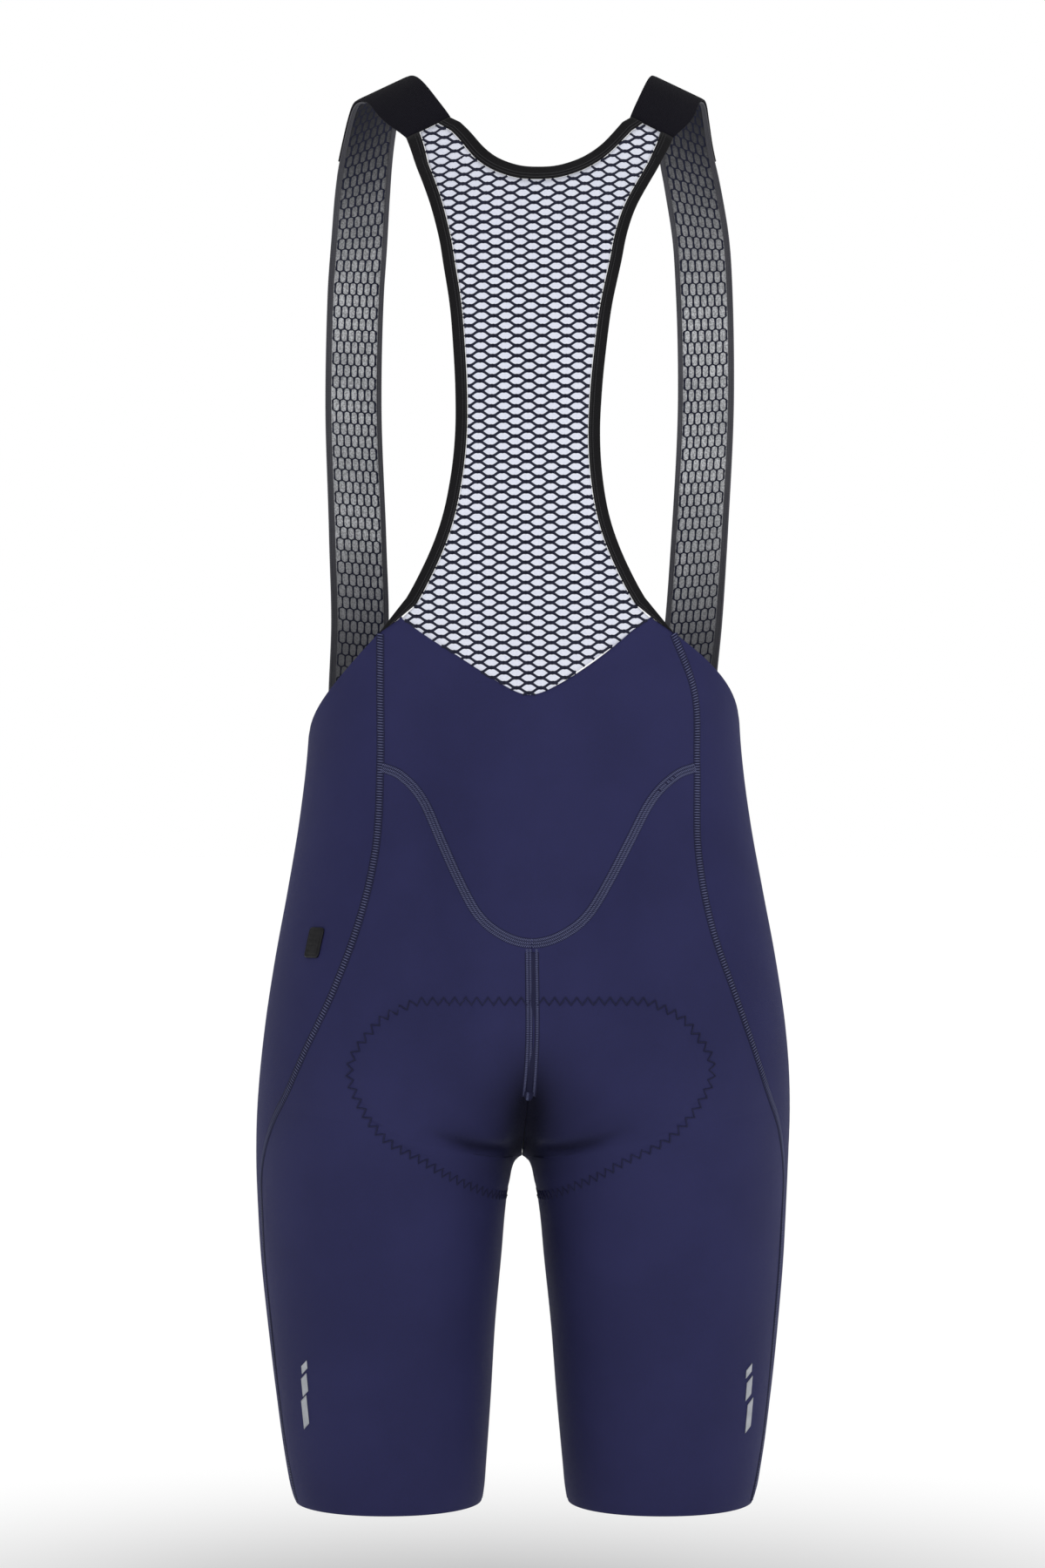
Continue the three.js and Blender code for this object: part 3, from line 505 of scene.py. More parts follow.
navyKnit = knitMaterial("navyStretchKnit", withPaintedShade=True)
# the side panels' knit, darker as painted shade
navyShadedSide = knitMaterial("navyKnitShadedSide")
meshGround = knitMaterial("paleMeshGround")
netYarn = knitMaterial("darkNetYarn")
tabKnit = knitMaterial("blackTabKnit")
bindingTape = knitMaterial("blackBindingTape")
selvedgeRib = knitMaterial("darkSelvedgeRib")
padCover = knitMaterial("brushedPadCover")
seamThread = knitMaterial("navySeamThread")
# the seam bands' thread, darker as painted shade
coverThreadAndSeamShade = knitMaterial("darkCoverThreadAndSeamShade")
zigzagThread = knitMaterial("darkZigzagThread")
blackThread = knitMaterial("blackCoverThread")

# where the strap's colour changes, in metres along it: black under the tab, its doubled end, with painted shade
# running on past it; darker again near the waist, painted shade
strapToneAndShade = {"black": (0.03, 0.22), "dark": (0.31, 0.43), "waistShadeAmount": 0.85}


def makeStrapGround():  # grey melange under the strap's net, with painted shade near both ends
    material, tree, shader, weave, place = startMaterial(
        "strapMelange", {"Specular IOR Level": 0.22, "Roughness": 0.75})
    knit = placeGroup(tree, knitLoops, weave, {
        "Wales per metre": 1300.0, "Courses per metre": 900.0, "Unevenness": 0.9})
    tone = placeGroup(tree, clothTone, place, {"Patch size": 0.045, "Fleck size": 0.0011})
    base = colourMix(tree, tone.outputs["Flecks"], (0.24, 0.245, 0.26), (0.86, 0.87, 0.89))
    base = colourMix(tree, mathNode(tree, "MULTIPLY", knit.outputs["Shade"], 0.4), base, (0.7, 0.71, 0.73))
    slow = mathNode(tree, "MULTIPLY", tone.outputs["Mask"], 0.3)
    base = colourMix(tree, slow, base, (0.17, 0.175, 0.19))
    way = tree.nodes.new("ShaderNodeSeparateXYZ")
    tree.links.new(weave, way.inputs[0])
    # black at the top: the doubled end under the tab, fading out as painted shade
    black = rampNode(tree, way.outputs["Y"], *strapToneAndShade["black"], 1.0, 0.0)
    base = colourMix(tree, black, base, (0.02, 0.02, 0.025))
    # painted shade near the waist
    waistShade = rampNode(tree, way.outputs["Y"], *strapToneAndShade["dark"], 0.0, strapToneAndShade["waistShadeAmount"])
    base = colourMix(tree, waistShade, base, (0.105, 0.105, 0.115))
    tree.links.new(base, shader.inputs["Base Color"])
    bumpFrom(tree, shader, knit.outputs["Height"], 0.0002)
    return material


def makeLabelRubber():
    material, tree, shader, _, place = startMaterial(
        "blackLabelRubber", {"Specular IOR Level": 0.25, "Coat Weight": 0.03, "Coat Roughness": 0.35})
    tone = placeGroup(tree, clothTone, place, {"Patch size": 0.006, "Fleck size": 0.0005})
    base = colourMix(tree, tone.outputs["Mask"], (0.0035, 0.0035, 0.0045), (0.009, 0.009, 0.011))
    tree.links.new(base, shader.inputs["Base Color"])
    tree.links.new(rampNode(tree, tone.outputs["Flecks"], 0, 1, 0.38, 0.55), shader.inputs["Roughness"])
    bumpFrom(tree, shader, tone.outputs["Flecks"], 0.00004, 0.4)
    return material


def makeReflectiveFilm():  # silver grey beads under a thin print
    material, tree, shader, _, place = startMaterial(
        "silverReflectiveFilm", {"Metallic": 0.25, "Specular IOR Level": 0.5})
    tone = placeGroup(tree, clothTone, place, {"Patch size": 0.008, "Fleck size": 0.0003})
    beads = tree.nodes.new("ShaderNodeTexVoronoi")
    beads.inputs["Scale"].default_value = 2600.0
    tree.links.new(place, beads.inputs["Vector"])
    base = colourMix(tree, tone.outputs["Mask"], (0.36, 0.38, 0.42), (0.46, 0.48, 0.52))
    base = colourMix(tree, mathNode(tree, "MULTIPLY", tone.outputs["Flecks"], 0.3), base, (0.6, 0.62, 0.66))
    tree.links.new(base, shader.inputs["Base Color"])
    tree.links.new(rampNode(tree, tone.outputs["Flecks"], 0, 1, 0.42, 0.6), shader.inputs["Roughness"])
    bumpFrom(tree, shader, beads.outputs["Distance"], 0.00003, 0.4)
    return material


strapGround = makeStrapGround()
labelRubber = makeLabelRubber()
reflectiveFilm = makeReflectiveFilm()
print("materials ready")


def makeObject(name, points, faces, material, weave):
    mesh = bpy.data.meshes.new(name)
    points = np.asarray(points, float) * 0.001
    faces = np.asarray(faces, np.int32)
    sides = faces.shape[1]
    mesh.vertices.add(len(points))
    mesh.vertices.foreach_set("co", points.ravel())
    mesh.loops.add(faces.size)
    mesh.loops.foreach_set("vertex_index", faces.ravel())
    mesh.polygons.add(len(faces))
    mesh.polygons.foreach_set("loop_start", np.arange(0, faces.size, sides, dtype=np.int32))
    mesh.polygons.foreach_set("use_smooth", np.ones(len(faces), bool))
    uv = mesh.uv_layers.new(name="weave")
    uv.data.foreach_set("uv", (np.asarray(weave, float)[faces.ravel()] * 0.001).ravel())
    mesh.update(calc_edges=True)
    mesh.validate()
    made = bpy.data.objects.new(name, mesh)
    made.data.materials.append(material)
    bpy.context.scene.collection.objects.link(made)
    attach(made, "root")
    return made


def cumulative(points, axis):
    step = np.linalg.norm(np.diff(points, axis=axis), axis=-1)
    walked = np.cumsum(step, axis=axis)
    pad = [(0, 0), (0, 0)]
    pad[axis] = (1, 0)
    return np.pad(walked, pad)


def makeWall(name, layers, material, weave=None):
    # layers of one grid from the outside to the inside: closed all round, rims rounded by the layers
    rows, columns = layers[0].shape[:2]
    if weave is None:
        weave = np.stack([cumulative(layers[0], 1), cumulative(layers[0], 0)], -1)
    index = np.arange(rows * columns).reshape(rows, columns)
    outer, inner = layers[0], layers[-1]
    last = rows * columns
    a, b, c, d = index[:-1, :-1], index[1:, :-1], index[1:, 1:], index[:-1, 1:]
    quads = [np.stack([a, b, c, d], -1).reshape(-1, 4), np.stack([a, d, c, b], -1).reshape(-1, 4) + last]
    rim = np.concatenate([index[0, :], index[1:, -1], index[-1, -2::-1], index[-2:0:-1, 0]])
    points = [outer.reshape(-1, 3), inner.reshape(-1, 3)]
    flat = weave.reshape(-1, 2)
    maps = [flat, flat]
    rings = [rim]
    for layer in layers[1:-1]:
        base = sum(len(p) for p in points)
        points.append(layer.reshape(-1, 3)[rim])
        maps.append(flat[rim])
        rings.append(base + np.arange(len(rim)))
    rings.append(rim + last)
    for high, low in zip(rings[:-1], rings[1:]):
        quads.append(np.stack([high, np.roll(high, -1), np.roll(low, -1), low], -1))
    points = np.concatenate(points)
    faces = np.concatenate(quads)
    a, b, c, d = (points[faces[:, k]] for k in range(4))
    volume = (a * np.cross(b, c)).sum() + (a * np.cross(c, d)).sum()
    if volume < 0:
        faces = faces[:, ::-1]
    return makeObject(name, points, faces, material, np.concatenate(maps))


def makeTubes(name, paths, radiusA, radiusB, normals, material, sides=5, closed=False):
    # many short strands: paths (count, steps, 3), with a flat section square to the normals
    count, steps = paths.shape[:2]
    tangent = np.gradient(paths, axis=1)
    if closed:
        tangent = np.roll(paths, -1, 1) - np.roll(paths, 1, 1)
    tangent = unit(tangent)
    side = unit(np.cross(normals, tangent))
    high = unit(np.cross(tangent, side))
    turn = np.arange(sides) * 2 * math.pi / sides
    ring = (side[:, :, None] * (np.cos(turn)[:, None] * np.asarray(radiusA)[..., None, None])
            + high[:, :, None] * (np.sin(turn)[:, None] * np.asarray(radiusB)[..., None, None]))
    points = (paths[:, :, None] + ring).reshape(-1, 3)
    index = np.arange(count * steps * sides).reshape(count, steps, sides)
    a = index if closed else index[:, :-1]
    b = np.roll(index, -1, 1) if closed else index[:, 1:]
    faces = [np.stack([a, np.roll(a, -1, 2), np.roll(b, -1, 2), b], -1).reshape(-1, 4)]
    if not closed:  # pointed ends
        tips = np.concatenate([paths[:, 0] - tangent[:, 0] * 0.12, paths[:, -1] + tangent[:, -1] * 0.12])
        base = len(points)
        points = np.concatenate([points, tips])
        low, top = index[:, 0], index[:, -1]
        startTip = np.broadcast_to((base + np.arange(count))[:, None], low.shape)
        endTip = startTip + count
        faces.append(np.stack([np.roll(low, -1, 1), low, startTip, startTip], -1).reshape(-1, 4))
        faces.append(np.stack([top, np.roll(top, -1, 1), endTip, endTip], -1).reshape(-1, 4))
    lengthwise = np.broadcast_to(cumulative(paths, 1)[:, :, None], (count, steps, sides))
    around = np.broadcast_to((np.arange(sides) * 0.4)[None, None], (count, steps, sides))
    weave = np.stack([around, lengthwise], -1).reshape(-1, 2)
    if len(points) > len(weave):
        weave = np.concatenate([weave, np.zeros((len(points) - len(weave), 2))])
    quads = faces[0]
    triangles = [np.stack([f[:, 0], f[:, 1], f[:, 2]], -1) for f in faces[1:]]
    triangles.append(quads[:, [0, 1, 2]])
    triangles.append(quads[:, [0, 2, 3]])
    return makeObject(name, points, np.concatenate(triangles), material, weave)


def makeStitches(name, centres, alongs, normals, length, width, height, material):
    # one small spindle of thread for each stitch
    alongs, normals = unit(alongs), unit(normals)
    share = np.array([-0.5, -0.22, 0.22, 0.5])
    full = np.array([0.25, 1.0, 1.0, 0.25])
    paths = centres[:, None] + alongs[:, None] * (share[:, None] * length)
    paths = paths + normals[:, None] * (np.array([-0.25, 0.1, 0.1, -0.25])[:, None] * height)
    widths = np.broadcast_to(full * width / 2, paths.shape[:2])
    heights = np.broadcast_to(full * height / 2, paths.shape[:2])
    normal = np.broadcast_to(normals[:, None], paths.shape)
    return makeTubes(name, paths, widths, heights, normal, material, sides=4)


padSteps = {"back": 39, "front": 27, "across": 60, "rowGap": 4.0}


def makePadWalks():  # rows along the crotch, each walked outwards over the left half of the form
    back = crotchHeights(fit["padBack"], padSteps["back"], 1)
    front = crotchHeights(fit["padFront"], padSteps["front"], -1)[::-1][1:]
    heights = np.concatenate([back, front])
    ways = np.concatenate([np.ones(len(back)), -np.ones(len(front))])
    y = np.array([depthAt(0.0, max(z, fit["crotch"] + 1e-6), w) for z, w in zip(heights, ways)])
    y = np.where(heights <= fit["crotch"] + 1e-6, sectionAt(np.array(float(fit["crotch"])))[1], y)
    spine = onFigure(np.stack([0 * y, y, heights], -1))
    half = along(padRows, np.linspace(0, 1, len(heights)))[:, 0]
    steps = padSteps["across"]
    p = spine.copy()
    heading = np.tile([1.0, 0.0, 0.0], (len(p), 1))
    marks = [p.copy()]
    for _ in range(steps):
        following = onFigure(p + heading * (half / steps)[:, None], 5)
        move = following - p
        n = outwardAt(following)
        heading = unit(move - n * (move * n).sum(-1, keepdims=True))
        p = following
        marks.append(p.copy())
    return np.stack(marks, 1), half


padWalks, padHalf = makePadWalks()
padTree = KDTree(padWalks.shape[0] * padWalks.shape[1])
padInside = []
for r in range(padWalks.shape[0]):
    for c in range(padWalks.shape[1]):
        padTree.insert(padWalks[r, c], len(padInside))
        fromSide = padHalf[r] * (1 - c / (padWalks.shape[1] - 1))
        fromEnd = min(r, padWalks.shape[0] - 1 - r) * padSteps["rowGap"]
        padInside.append(min(fromSide, fromEnd))
padTree.balance()
padInside = np.array(padInside)
print("seat pad outline walked")

# soft forms in the stretched cloth: the pad's bulk, the fold under each buttock and the cleft
relief = {
    "padRise": 1.3, "padSoft": 14.0, "groove": 0.4, "grooveWidth": 3.2, "padTop": -575, "padLow": -760,
    "foldDepth": 4.2, "foldWidth": 4.6, "foldTop": -690.0, "foldBend": 0.0045, "foldSwell": 1.4,
    "cleft": 6.0, "cleftWidth": 8.0, "cleftTop": -614,
}
# the painted shade in them and inside the right leg: depth and width of its sharp and its wide part
shade = {
    "cleftTop": -606, "cleftSharp": (0.6, 13), "cleftWide": (0.55, 32), "foldSharp": (0.5, 4),
    "foldWide": (0.3, 14), "legDepth": 0.5, "legWidth": 20, "legTop": -690,
}


def bell(away, width):
    return np.exp(-(away / width) ** 2)


def foldHeight(x):
    return relief["foldTop"] + relief["foldBend"] * np.minimum(x, 60.0) ** 2


def creaseAt(p):  # how deep the cleft and the fold under each buttock lie
    x, y, z = np.moveaxis(p, -1, 0)
    back = ease((y - 10) / 40)
    above = z - foldHeight(x)
    fade = back * ease((62 - x) / 34) * ease((x - 4) / 12)
    deep = fade * relief["foldDepth"] * bell(above, relief["foldWidth"])
    deep -= fade * relief["foldSwell"] * bell(above - 20, 15)
    cleft = ease((relief["cleftTop"] - z) / 50) * back
    return deep + cleft * relief["cleft"] * bell(x, relief["cleftWidth"])


def shadeAt(p, side):  # painted shade: where the cloth is coloured darker, in the cleft, the folds and inside the right leg
    x, y, z = np.moveaxis(p, -1, 0)
    back = ease((y + 5) / 40)
    sharp, wide = shade["cleftSharp"], shade["cleftWide"]
    cleft = ease((shade["cleftTop"] - z) / 62) * (sharp[0] * bell(x, sharp[1]) + wide[0] * bell(x, wide[1]))
    above = z - foldHeight(x)
    sharp, wide = shade["foldSharp"], shade["foldWide"]
    fold = ease((74 - x) / 50) * (sharp[0] * bell(above, sharp[1]) + wide[0] * bell(above - 5, wide[1]))
    inner = 5 + np.maximum(-705 - z, 0) * 0.075  # the leg's inner edge, seen from behind
    # painted shade inside the right leg only
    leg = (side < 0) * shade["legDepth"] * ease((shade["legTop"] - z) / 24)
    leg = leg * (1 - 0.45 * ease((-740 - z) / 150)) * bell(x - inner, shade["legWidth"])
    return np.clip(back * np.maximum(np.maximum(cleft * ease((z + 735) / 40), fold), leg), 0, 1)


def reliefAt(p, side):  # soft forms of the stretched cloth, square to the surface
    flat = p.reshape(-1, 3)
    rise = np.zeros(len(flat))
    near = (flat[:, 2] < relief["padTop"]) & (flat[:, 2] > relief["padLow"])
    for i in np.nonzero(near)[0]:
        _, k, away = padTree.find(flat[i])
        inside = padInside[k] if padInside[k] > 2.5 else (padInside[k] - away)
        rise[i] = relief["padRise"] * float(ease((inside + 2.0) / relief["padSoft"]))
        rise[i] -= relief["groove"] * math.exp(-(inside / relief["grooveWidth"]) ** 2)
    x, y, z = flat.T
    rise -= creaseAt(flat)
    # slight long waves down the legs and over the hips
    leg = ease((-690 - z) / 60)
    rise += leg * 0.35 * np.sin(x * 0.045 + z * 0.011 + side * 0.9) * np.cos(z * 0.017 + y * 0.02)
    rise += (1 - leg) * 0.25 * np.sin(z * 0.03 + side * 1.3 + x * 0.02) * np.cos(x * 0.03 - y * 0.02)
    return rise.reshape(p.shape[:-1])


def withEdges(count, span, close=(0.45, 1.3, 2.8)):  # fractions across, closer together at both ends
    inner = np.linspace(0, 1, count + 1)[1:-1]
    edge = np.array(close) / span
    inner = inner[(inner > edge[-1] * 1.3) & (inner < 1 - edge[-1] * 1.3)]
    return np.concatenate([[0], edge, inner, 1 - edge[::-1], [1]])


panelLook = {"thick": 1.5, "dip": 0.42, "dipWidth": 2.0, "yokeSteps": 5, "hipSteps": 12, "legSteps": 13,
             "fine": 4}
seatTop = float(along(seatSeamRows, np.array(1.0))[0])
seatLow = float(along(seatSeamRows, np.array(0.0))[0])
frontHigh = float(along(frontTopRows, np.array(0.0))[0])
frontLow = float(along(frontTopRows, np.array(1.0))[0])
halfGap = fit["seamGap"] / 2


def seatSeamGap(t):  # half the gap at the seat seam, straight down
    climb = (along(seatSeamRows, t + 0.01)[..., 0] - along(seatSeamRows, t - 0.01)[..., 0]) / 0.02
    return halfGap * np.hypot(1, climb / 105)


def rowEnds(sideTop, endTop, steps, way):
    # heights at the side seam and at the centre, for rows closer than the solids' rows
    fine = panelLook["fine"]
    sides = np.concatenate([
        np.linspace(sideTop, fit["crotchSide"], steps * fine + 1),
        np.linspace(fit["crotchSide"], fit["hem"], panelLook["legSteps"] * fine + 1)[1:]])
    ends = np.concatenate([
        crotchHeights(endTop, steps * fine, way),
        np.linspace(fit["crotch"], fit["hem"], panelLook["legSteps"] * fine + 1)[1:]])
    return sides, ends


def extraRows(rows, extras):  # rows at fractional places, added near an edge
    return np.unique(np.concatenate([np.arange(rows, dtype=float), extras]))


def atRow(values, r):
    return np.interp(r, np.arange(len(values)), values)


def sheetLayers(p, n, edge, side):  # outer face, rounded rim and inner face of a cloth panel
    rise = reliefAt(p, side) - panelLook["dip"] * bell(edge, panelLook["dipWidth"])
    layers = []
    for deep in (0.0, 0.35, 0.7, 1.0):
        layers.append(turned(p + n * (rise - deep * panelLook["thick"])[..., None], side))
    return layers


def joinHalves(layers):  # the right and the left half of each layer, joined at the middle
    return [np.concatenate([right[:, :0:-1], left], 1) for right, left in zip(*layers)]


def makeBackLeg(name, side):
    fine = panelLook["fine"]
    sides, ends = rowEnds(seatTop, seatLow, panelLook["hipSteps"], 1)
    foldRow = panelLook["hipSteps"] * fine
    folds = np.arange(foldRow - 5, foldRow + 4, 0.25)
    r = extraRows(len(sides), [0.12, 0.4, len(sides) - 1.4, len(sides) - 1.12, *folds])
    t = withEdges(44, 120.0)
    rr, tt = np.meshgrid(r, t, indexing="ij")
    seam = along(seatSeamRows, tt)[..., 0]
    rise = (seam - seatLow) / (seatTop - seatLow)
    z = mix(atRow(ends, rr), atRow(sides, rr), rise) - np.where(rr == 0, seatSeamGap(tt), 0)
    slices = slicesAt(z)
    seamAt = seamOn(slices, side)
    level = mix(halfGap, seamAt - halfGap, tt.ravel())
    endSlices = slicesAt(atRow(ends, r))
    whole = np.repeat(seamOn(endSlices, side) - fit["seamGap"], len(t))
    even = seamAt - halfGap - (1 - tt.ravel()) * whole
    share = np.minimum(rr.ravel() / fine / 4, 1)
    p = placeOn(slices, mix(level, even, share)).reshape(*rr.shape, 3)
    return finishPanel(name, p, side, navyKnit)


def fromEdges(down, across):  # the way to the nearest edge
    return np.minimum(np.minimum(across, across[:, -1:] - across), np.minimum(down, down[-1:] - down))


def finishPanel(name, p, side, material):
    n = outwardAt(p)
    down, across = cumulative(p, 0), cumulative(p, 1)
    layers = sheetLayers(p, n, fromEdges(down, across), side)
    wall = makeWall(name, layers, material, np.stack([across, down], -1))
    places = np.empty(len(wall.data.vertices) * 3)
    wall.data.vertices.foreach_get("co", places)
    # painted shade for the cleft, the folds and inside the right leg, kept on each point
    paintedShade = wall.data.attributes.new("paintedShade", "FLOAT", "POINT")
    paintedShade.data.foreach_set("value", shadeAt(unturned(places.reshape(-1, 3) * 1000, side), side))
    return wall


def makeFrontLeg(name, side):
    fine = panelLook["fine"]
    steps = panelLook["yokeSteps"] + panelLook["hipSteps"]
    yokeSides = np.linspace(frontHigh, seatTop, panelLook["yokeSteps"] * fine + 1)
    sides, _ = rowEnds(seatTop, seatLow, panelLook["hipSteps"], 1)
    sides = np.concatenate([yokeSides[:-1], sides])
    _, ends = rowEnds(frontHigh, frontLow, steps, -1)
    r = extraRows(len(sides), [0.12, 0.4, len(sides) - 1.4, len(sides) - 1.12])
    t = withEdges(56, 230.0)
    rr, tt = np.meshgrid(r, t, indexing="ij")
    edge = (along(frontTopRows, tt)[..., 0] - frontHigh) / (frontLow - frontHigh)
    fall = mix(edge, ease(tt), np.minimum(rr / fine / 9, 1))
    z = mix(atRow(sides, rr), atRow(ends, rr), fall)
    slices = slicesAt(z)
    seamAt = seamOn(slices, side)
    level = mix(seamAt + halfGap, slices["length"] - halfGap, tt.ravel())
    endSlices = slicesAt(atRow(ends, r))
    whole = np.repeat(endSlices["length"] - seamOn(endSlices, side) - fit["seamGap"], len(t))
    even = seamAt + halfGap + tt.ravel() * whole
    share = np.minimum(rr.ravel() / fine / 4, 1)
    p = placeOn(slices, mix(level, even, share)).reshape(*rr.shape, 3)
    return finishPanel(name, p, side, navyShadedSide)


def yokeTop(t):
    tip = 0.1
    at = fit["meshCornerAt"]
    climb = (np.hypot(t, tip) - tip) / (np.hypot(at, tip) - tip)
    low = mix(fit["meshPoint"], fit["meshCorner"], climb)
    return np.where(t > at, mix(fit["meshCorner"], frontHigh, (t - at) / (1 - at)), low)


def onYoke(t, z, side, gap):
    slices = slicesAt(z)
    return placeOn(slices, np.ravel(t) * (seamOn(slices, side) - gap)).reshape(*np.shape(t), 3)


def makeYoke():
    half = withEdges(44, 105.0)
    half = np.unique(np.concatenate([half, [fit["meshCornerAt"]]]))
    v = withEdges(30, 130.0)
    vv, tt = np.meshgrid(v, half, indexing="ij")
    z = mix(yokeTop(tt), along(seatSeamRows, tt)[..., 0] + seatSeamGap(tt), vv)
    z[0] += 1.3 * ease((fit["meshCornerAt"] + 0.02 - half) / 0.03)  # laps over the mesh's lower edge
    layers = []
    for side in (-1, 1):
        p = onYoke(tt, z, side, halfGap)
        n = outwardAt(p)
        down = cumulative(p, 0)
        across = cumulative(p, 1)
        edge = np.minimum(np.minimum(down, down[-1:] - down), across[:, -1:] - across)
        layers.append(sheetLayers(p, n, edge, side))
    return makeWall("backYoke", joinHalves(layers), navyKnit)


pieces = {}
pieces["back_yoke"] = makeYoke()
for word, side in bothSides:
    pieces[f"back_leg_{word}"] = makeBackLeg(f"backLeg_{word}", side)
    pieces[f"front_leg_{word}"] = makeFrontLeg(f"frontLeg_{word}", side)
print("shorts panels made")


padLook = {"thick": 7.0, "edge": 3.0, "channel": 0.9, "channelAt": 0.42, "channelWidth": 0.035}


def makeSeatPad():
    rows = padWalks[::2]
    u = np.concatenate([np.arange(0, 56, 3), [57, 59, 60]])
    p = rows[:, u]
    n = outwardAt(p)
    share = (u / padSteps["across"])[None, :] + 0 * p[..., 0]
    low = -(panelLook["thick"] + fit["padGap"]) - creaseAt(p)
    full = padLook["edge"] + (padLook["thick"] - padLook["edge"]) * (1 - share**4)
    way = np.linspace(0, 1, len(rows))[:, None]
    channel = bell(share - padLook["channelAt"], padLook["channelWidth"])
    channel = channel * ease((way - 0.1) / 0.1) * ease((0.85 - way) / 0.1)
    full = full - padLook["channel"] * channel
    layers = []
    for side in (-1, 1):
        layers.append([turned(p + n * (low - deep * full)[..., None], side) for deep in (0, 0.25, 0.75, 1)])
    return makeWall("seatPad", joinHalves(layers), padCover)


pieces["seat_pad"] = makeSeatPad()


def ridgeZ(x):
    return -fit["ridgeFall"] * (x - fit["ridgeAt"])


def rounding(x, z):
    below = np.maximum(ridgeZ(x) - z, 0)
    c = np.clip(1 - below / fit["shoulderDrop"], 0, 1)
    return np.sqrt(1 - c * c)


def onUpper(x, z, way):
    out = np.abs(x)
    return np.stack([x, depthAt(out, z, way) * rounding(out, z), z + 0 * x], -1)


def outwardBack(x, z):  # outward on the back above the waist
    e = 0.4
    px, mx = onUpper(x + e, z, 1), onUpper(x - e, z, 1)
    pz, mz = onUpper(x, z + e, 1), onUpper(x, z - e, 1)
    n = unit(np.cross(px - mx, pz - mz))
    return n * np.where(n[..., 1:2] < 0, -1, 1)


def dropAt(way):
    return fit["shoulderDrop"] * (1 - np.cos(np.radians(way)))


def tabLine(x):
    return ridgeZ(x) - dropAt(fit["tabBackEnd"])


def movedIn(curve, at, width):
    e = 0.5
    a, b, c = curve(at - e), curve(at + e), curve(at)
    d = b - a
    length = np.linalg.norm(d, axis=-1)
    return np.stack([c[..., 0] + d[..., 1] * width / length, c[..., 1] - d[..., 0] * width / length], -1)


def sideCurve(z):
    return np.stack([along(meshSideRows, z)[..., 0], z + 0 * z], -1)


def neckCurve(x):
    return np.stack([x + 0 * x, along(neckRows, x)[..., 0]], -1)


bindingLook = {"side": 7.4, "neck": 8, "out": 0.7, "in": 1.7, "lap": 3.0, "groove": 0.22,
               "stitchRows": (0.62, 0.84), "stitch": (1.7, 0.5, 0.4)}
sideHeights = np.linspace(-46, frontHigh, 91)


def meshSide(width):  # the side edge from the tab to the yoke, a width in from it
    edge = movedIn(sideCurve, sideHeights, -np.full(len(sideHeights), float(width)))
    x = meshSideRows[0][1] - width * 1.1
    edge[0] = (x, float(tabLine(np.array(x))) - 1.8 * fit["seamGap"])
    share = width / bindingLook["side"]
    t = fit["meshCornerAt"] - 0.01 if share > 1 else mix(0.993, fit["meshCornerAt"], share)
    z = float(yokeTop(np.array(t)))
    edge[-1] = (onYoke(np.array([t]), np.array([z]), 1, halfGap)[0, 0], z + 2.5 * fit["seamGap"])
    return smoothEnds(edge)


def neckSide(width, count=61):
    t = np.linspace(0, 1, count)
    edge = movedIn(neckCurve, t * neckRows[-1][0], np.full(count, float(width)))
    x = neckRows[-1][0] + width * 0.95
    edge[-1] = (x, float(tabLine(np.array(x))) - 1.8 * fit["seamGap"])
    return smoothEnds(edge, start=False)


def smoothEnds(edge, start=True):  # the last steps run evenly to the end place
    edge = edge.copy()
    for at, way in ((0, 1), (len(edge) - 1, -1)):
        if at == 0 and not start:
            continue
        far = at + way * 6
        for k in range(1, 6):
            edge[at + way * k] = mix(edge[at], edge[far], k / 6)
    return edge


def resampled(edge, share):
    way = walkAlong(edge)
    return placesAt(share * way[-1], way, edge)


meshLook = {"ground": (0.5, 0.8), "column": 7.7, "row": 6.3, "strand": 1.85, "strandDepth": 0.56,
            "sunk": 0.62}
inset = bindingLook["side"] + fit["seamGap"]
meshEdge = meshSide(inset)
neckEdge = neckSide(bindingLook["neck"] + fit["seamGap"])
yokeShares = np.linspace(0, 1, 45)
yokeZ = yokeTop(yokeShares * fit["meshCornerAt"])
yokeX = onYoke(yokeShares * fit["meshCornerAt"], yokeZ, 1, halfGap)[:, 0]
yokeEdge = np.stack([yokeX, yokeZ + fit["seamGap"]], -1)
yokeEdge[-1] = meshEdge[-1]


def meshOutline():  # the whole panel's outline as places (x, z)
    left = np.concatenate([neckEdge, meshEdge[:1], meshEdge, yokeEdge[::-1]])
    right = left[::-1] * np.array([-1, 1])
    return np.concatenate([left, right])


def insideOutline(outline, x, z):
    inside = np.zeros(x.shape, bool)
    a, b = outline, np.roll(outline, -1, 0)
    for (x0, z0), (x1, z1) in zip(a, b):
        if z0 == z1:
            continue
        crosses = ((z0 > z) != (z1 > z)) & (x < (x1 - x0) * (z - z0) / (z1 - z0) + x0)
        inside ^= crosses
    return inside


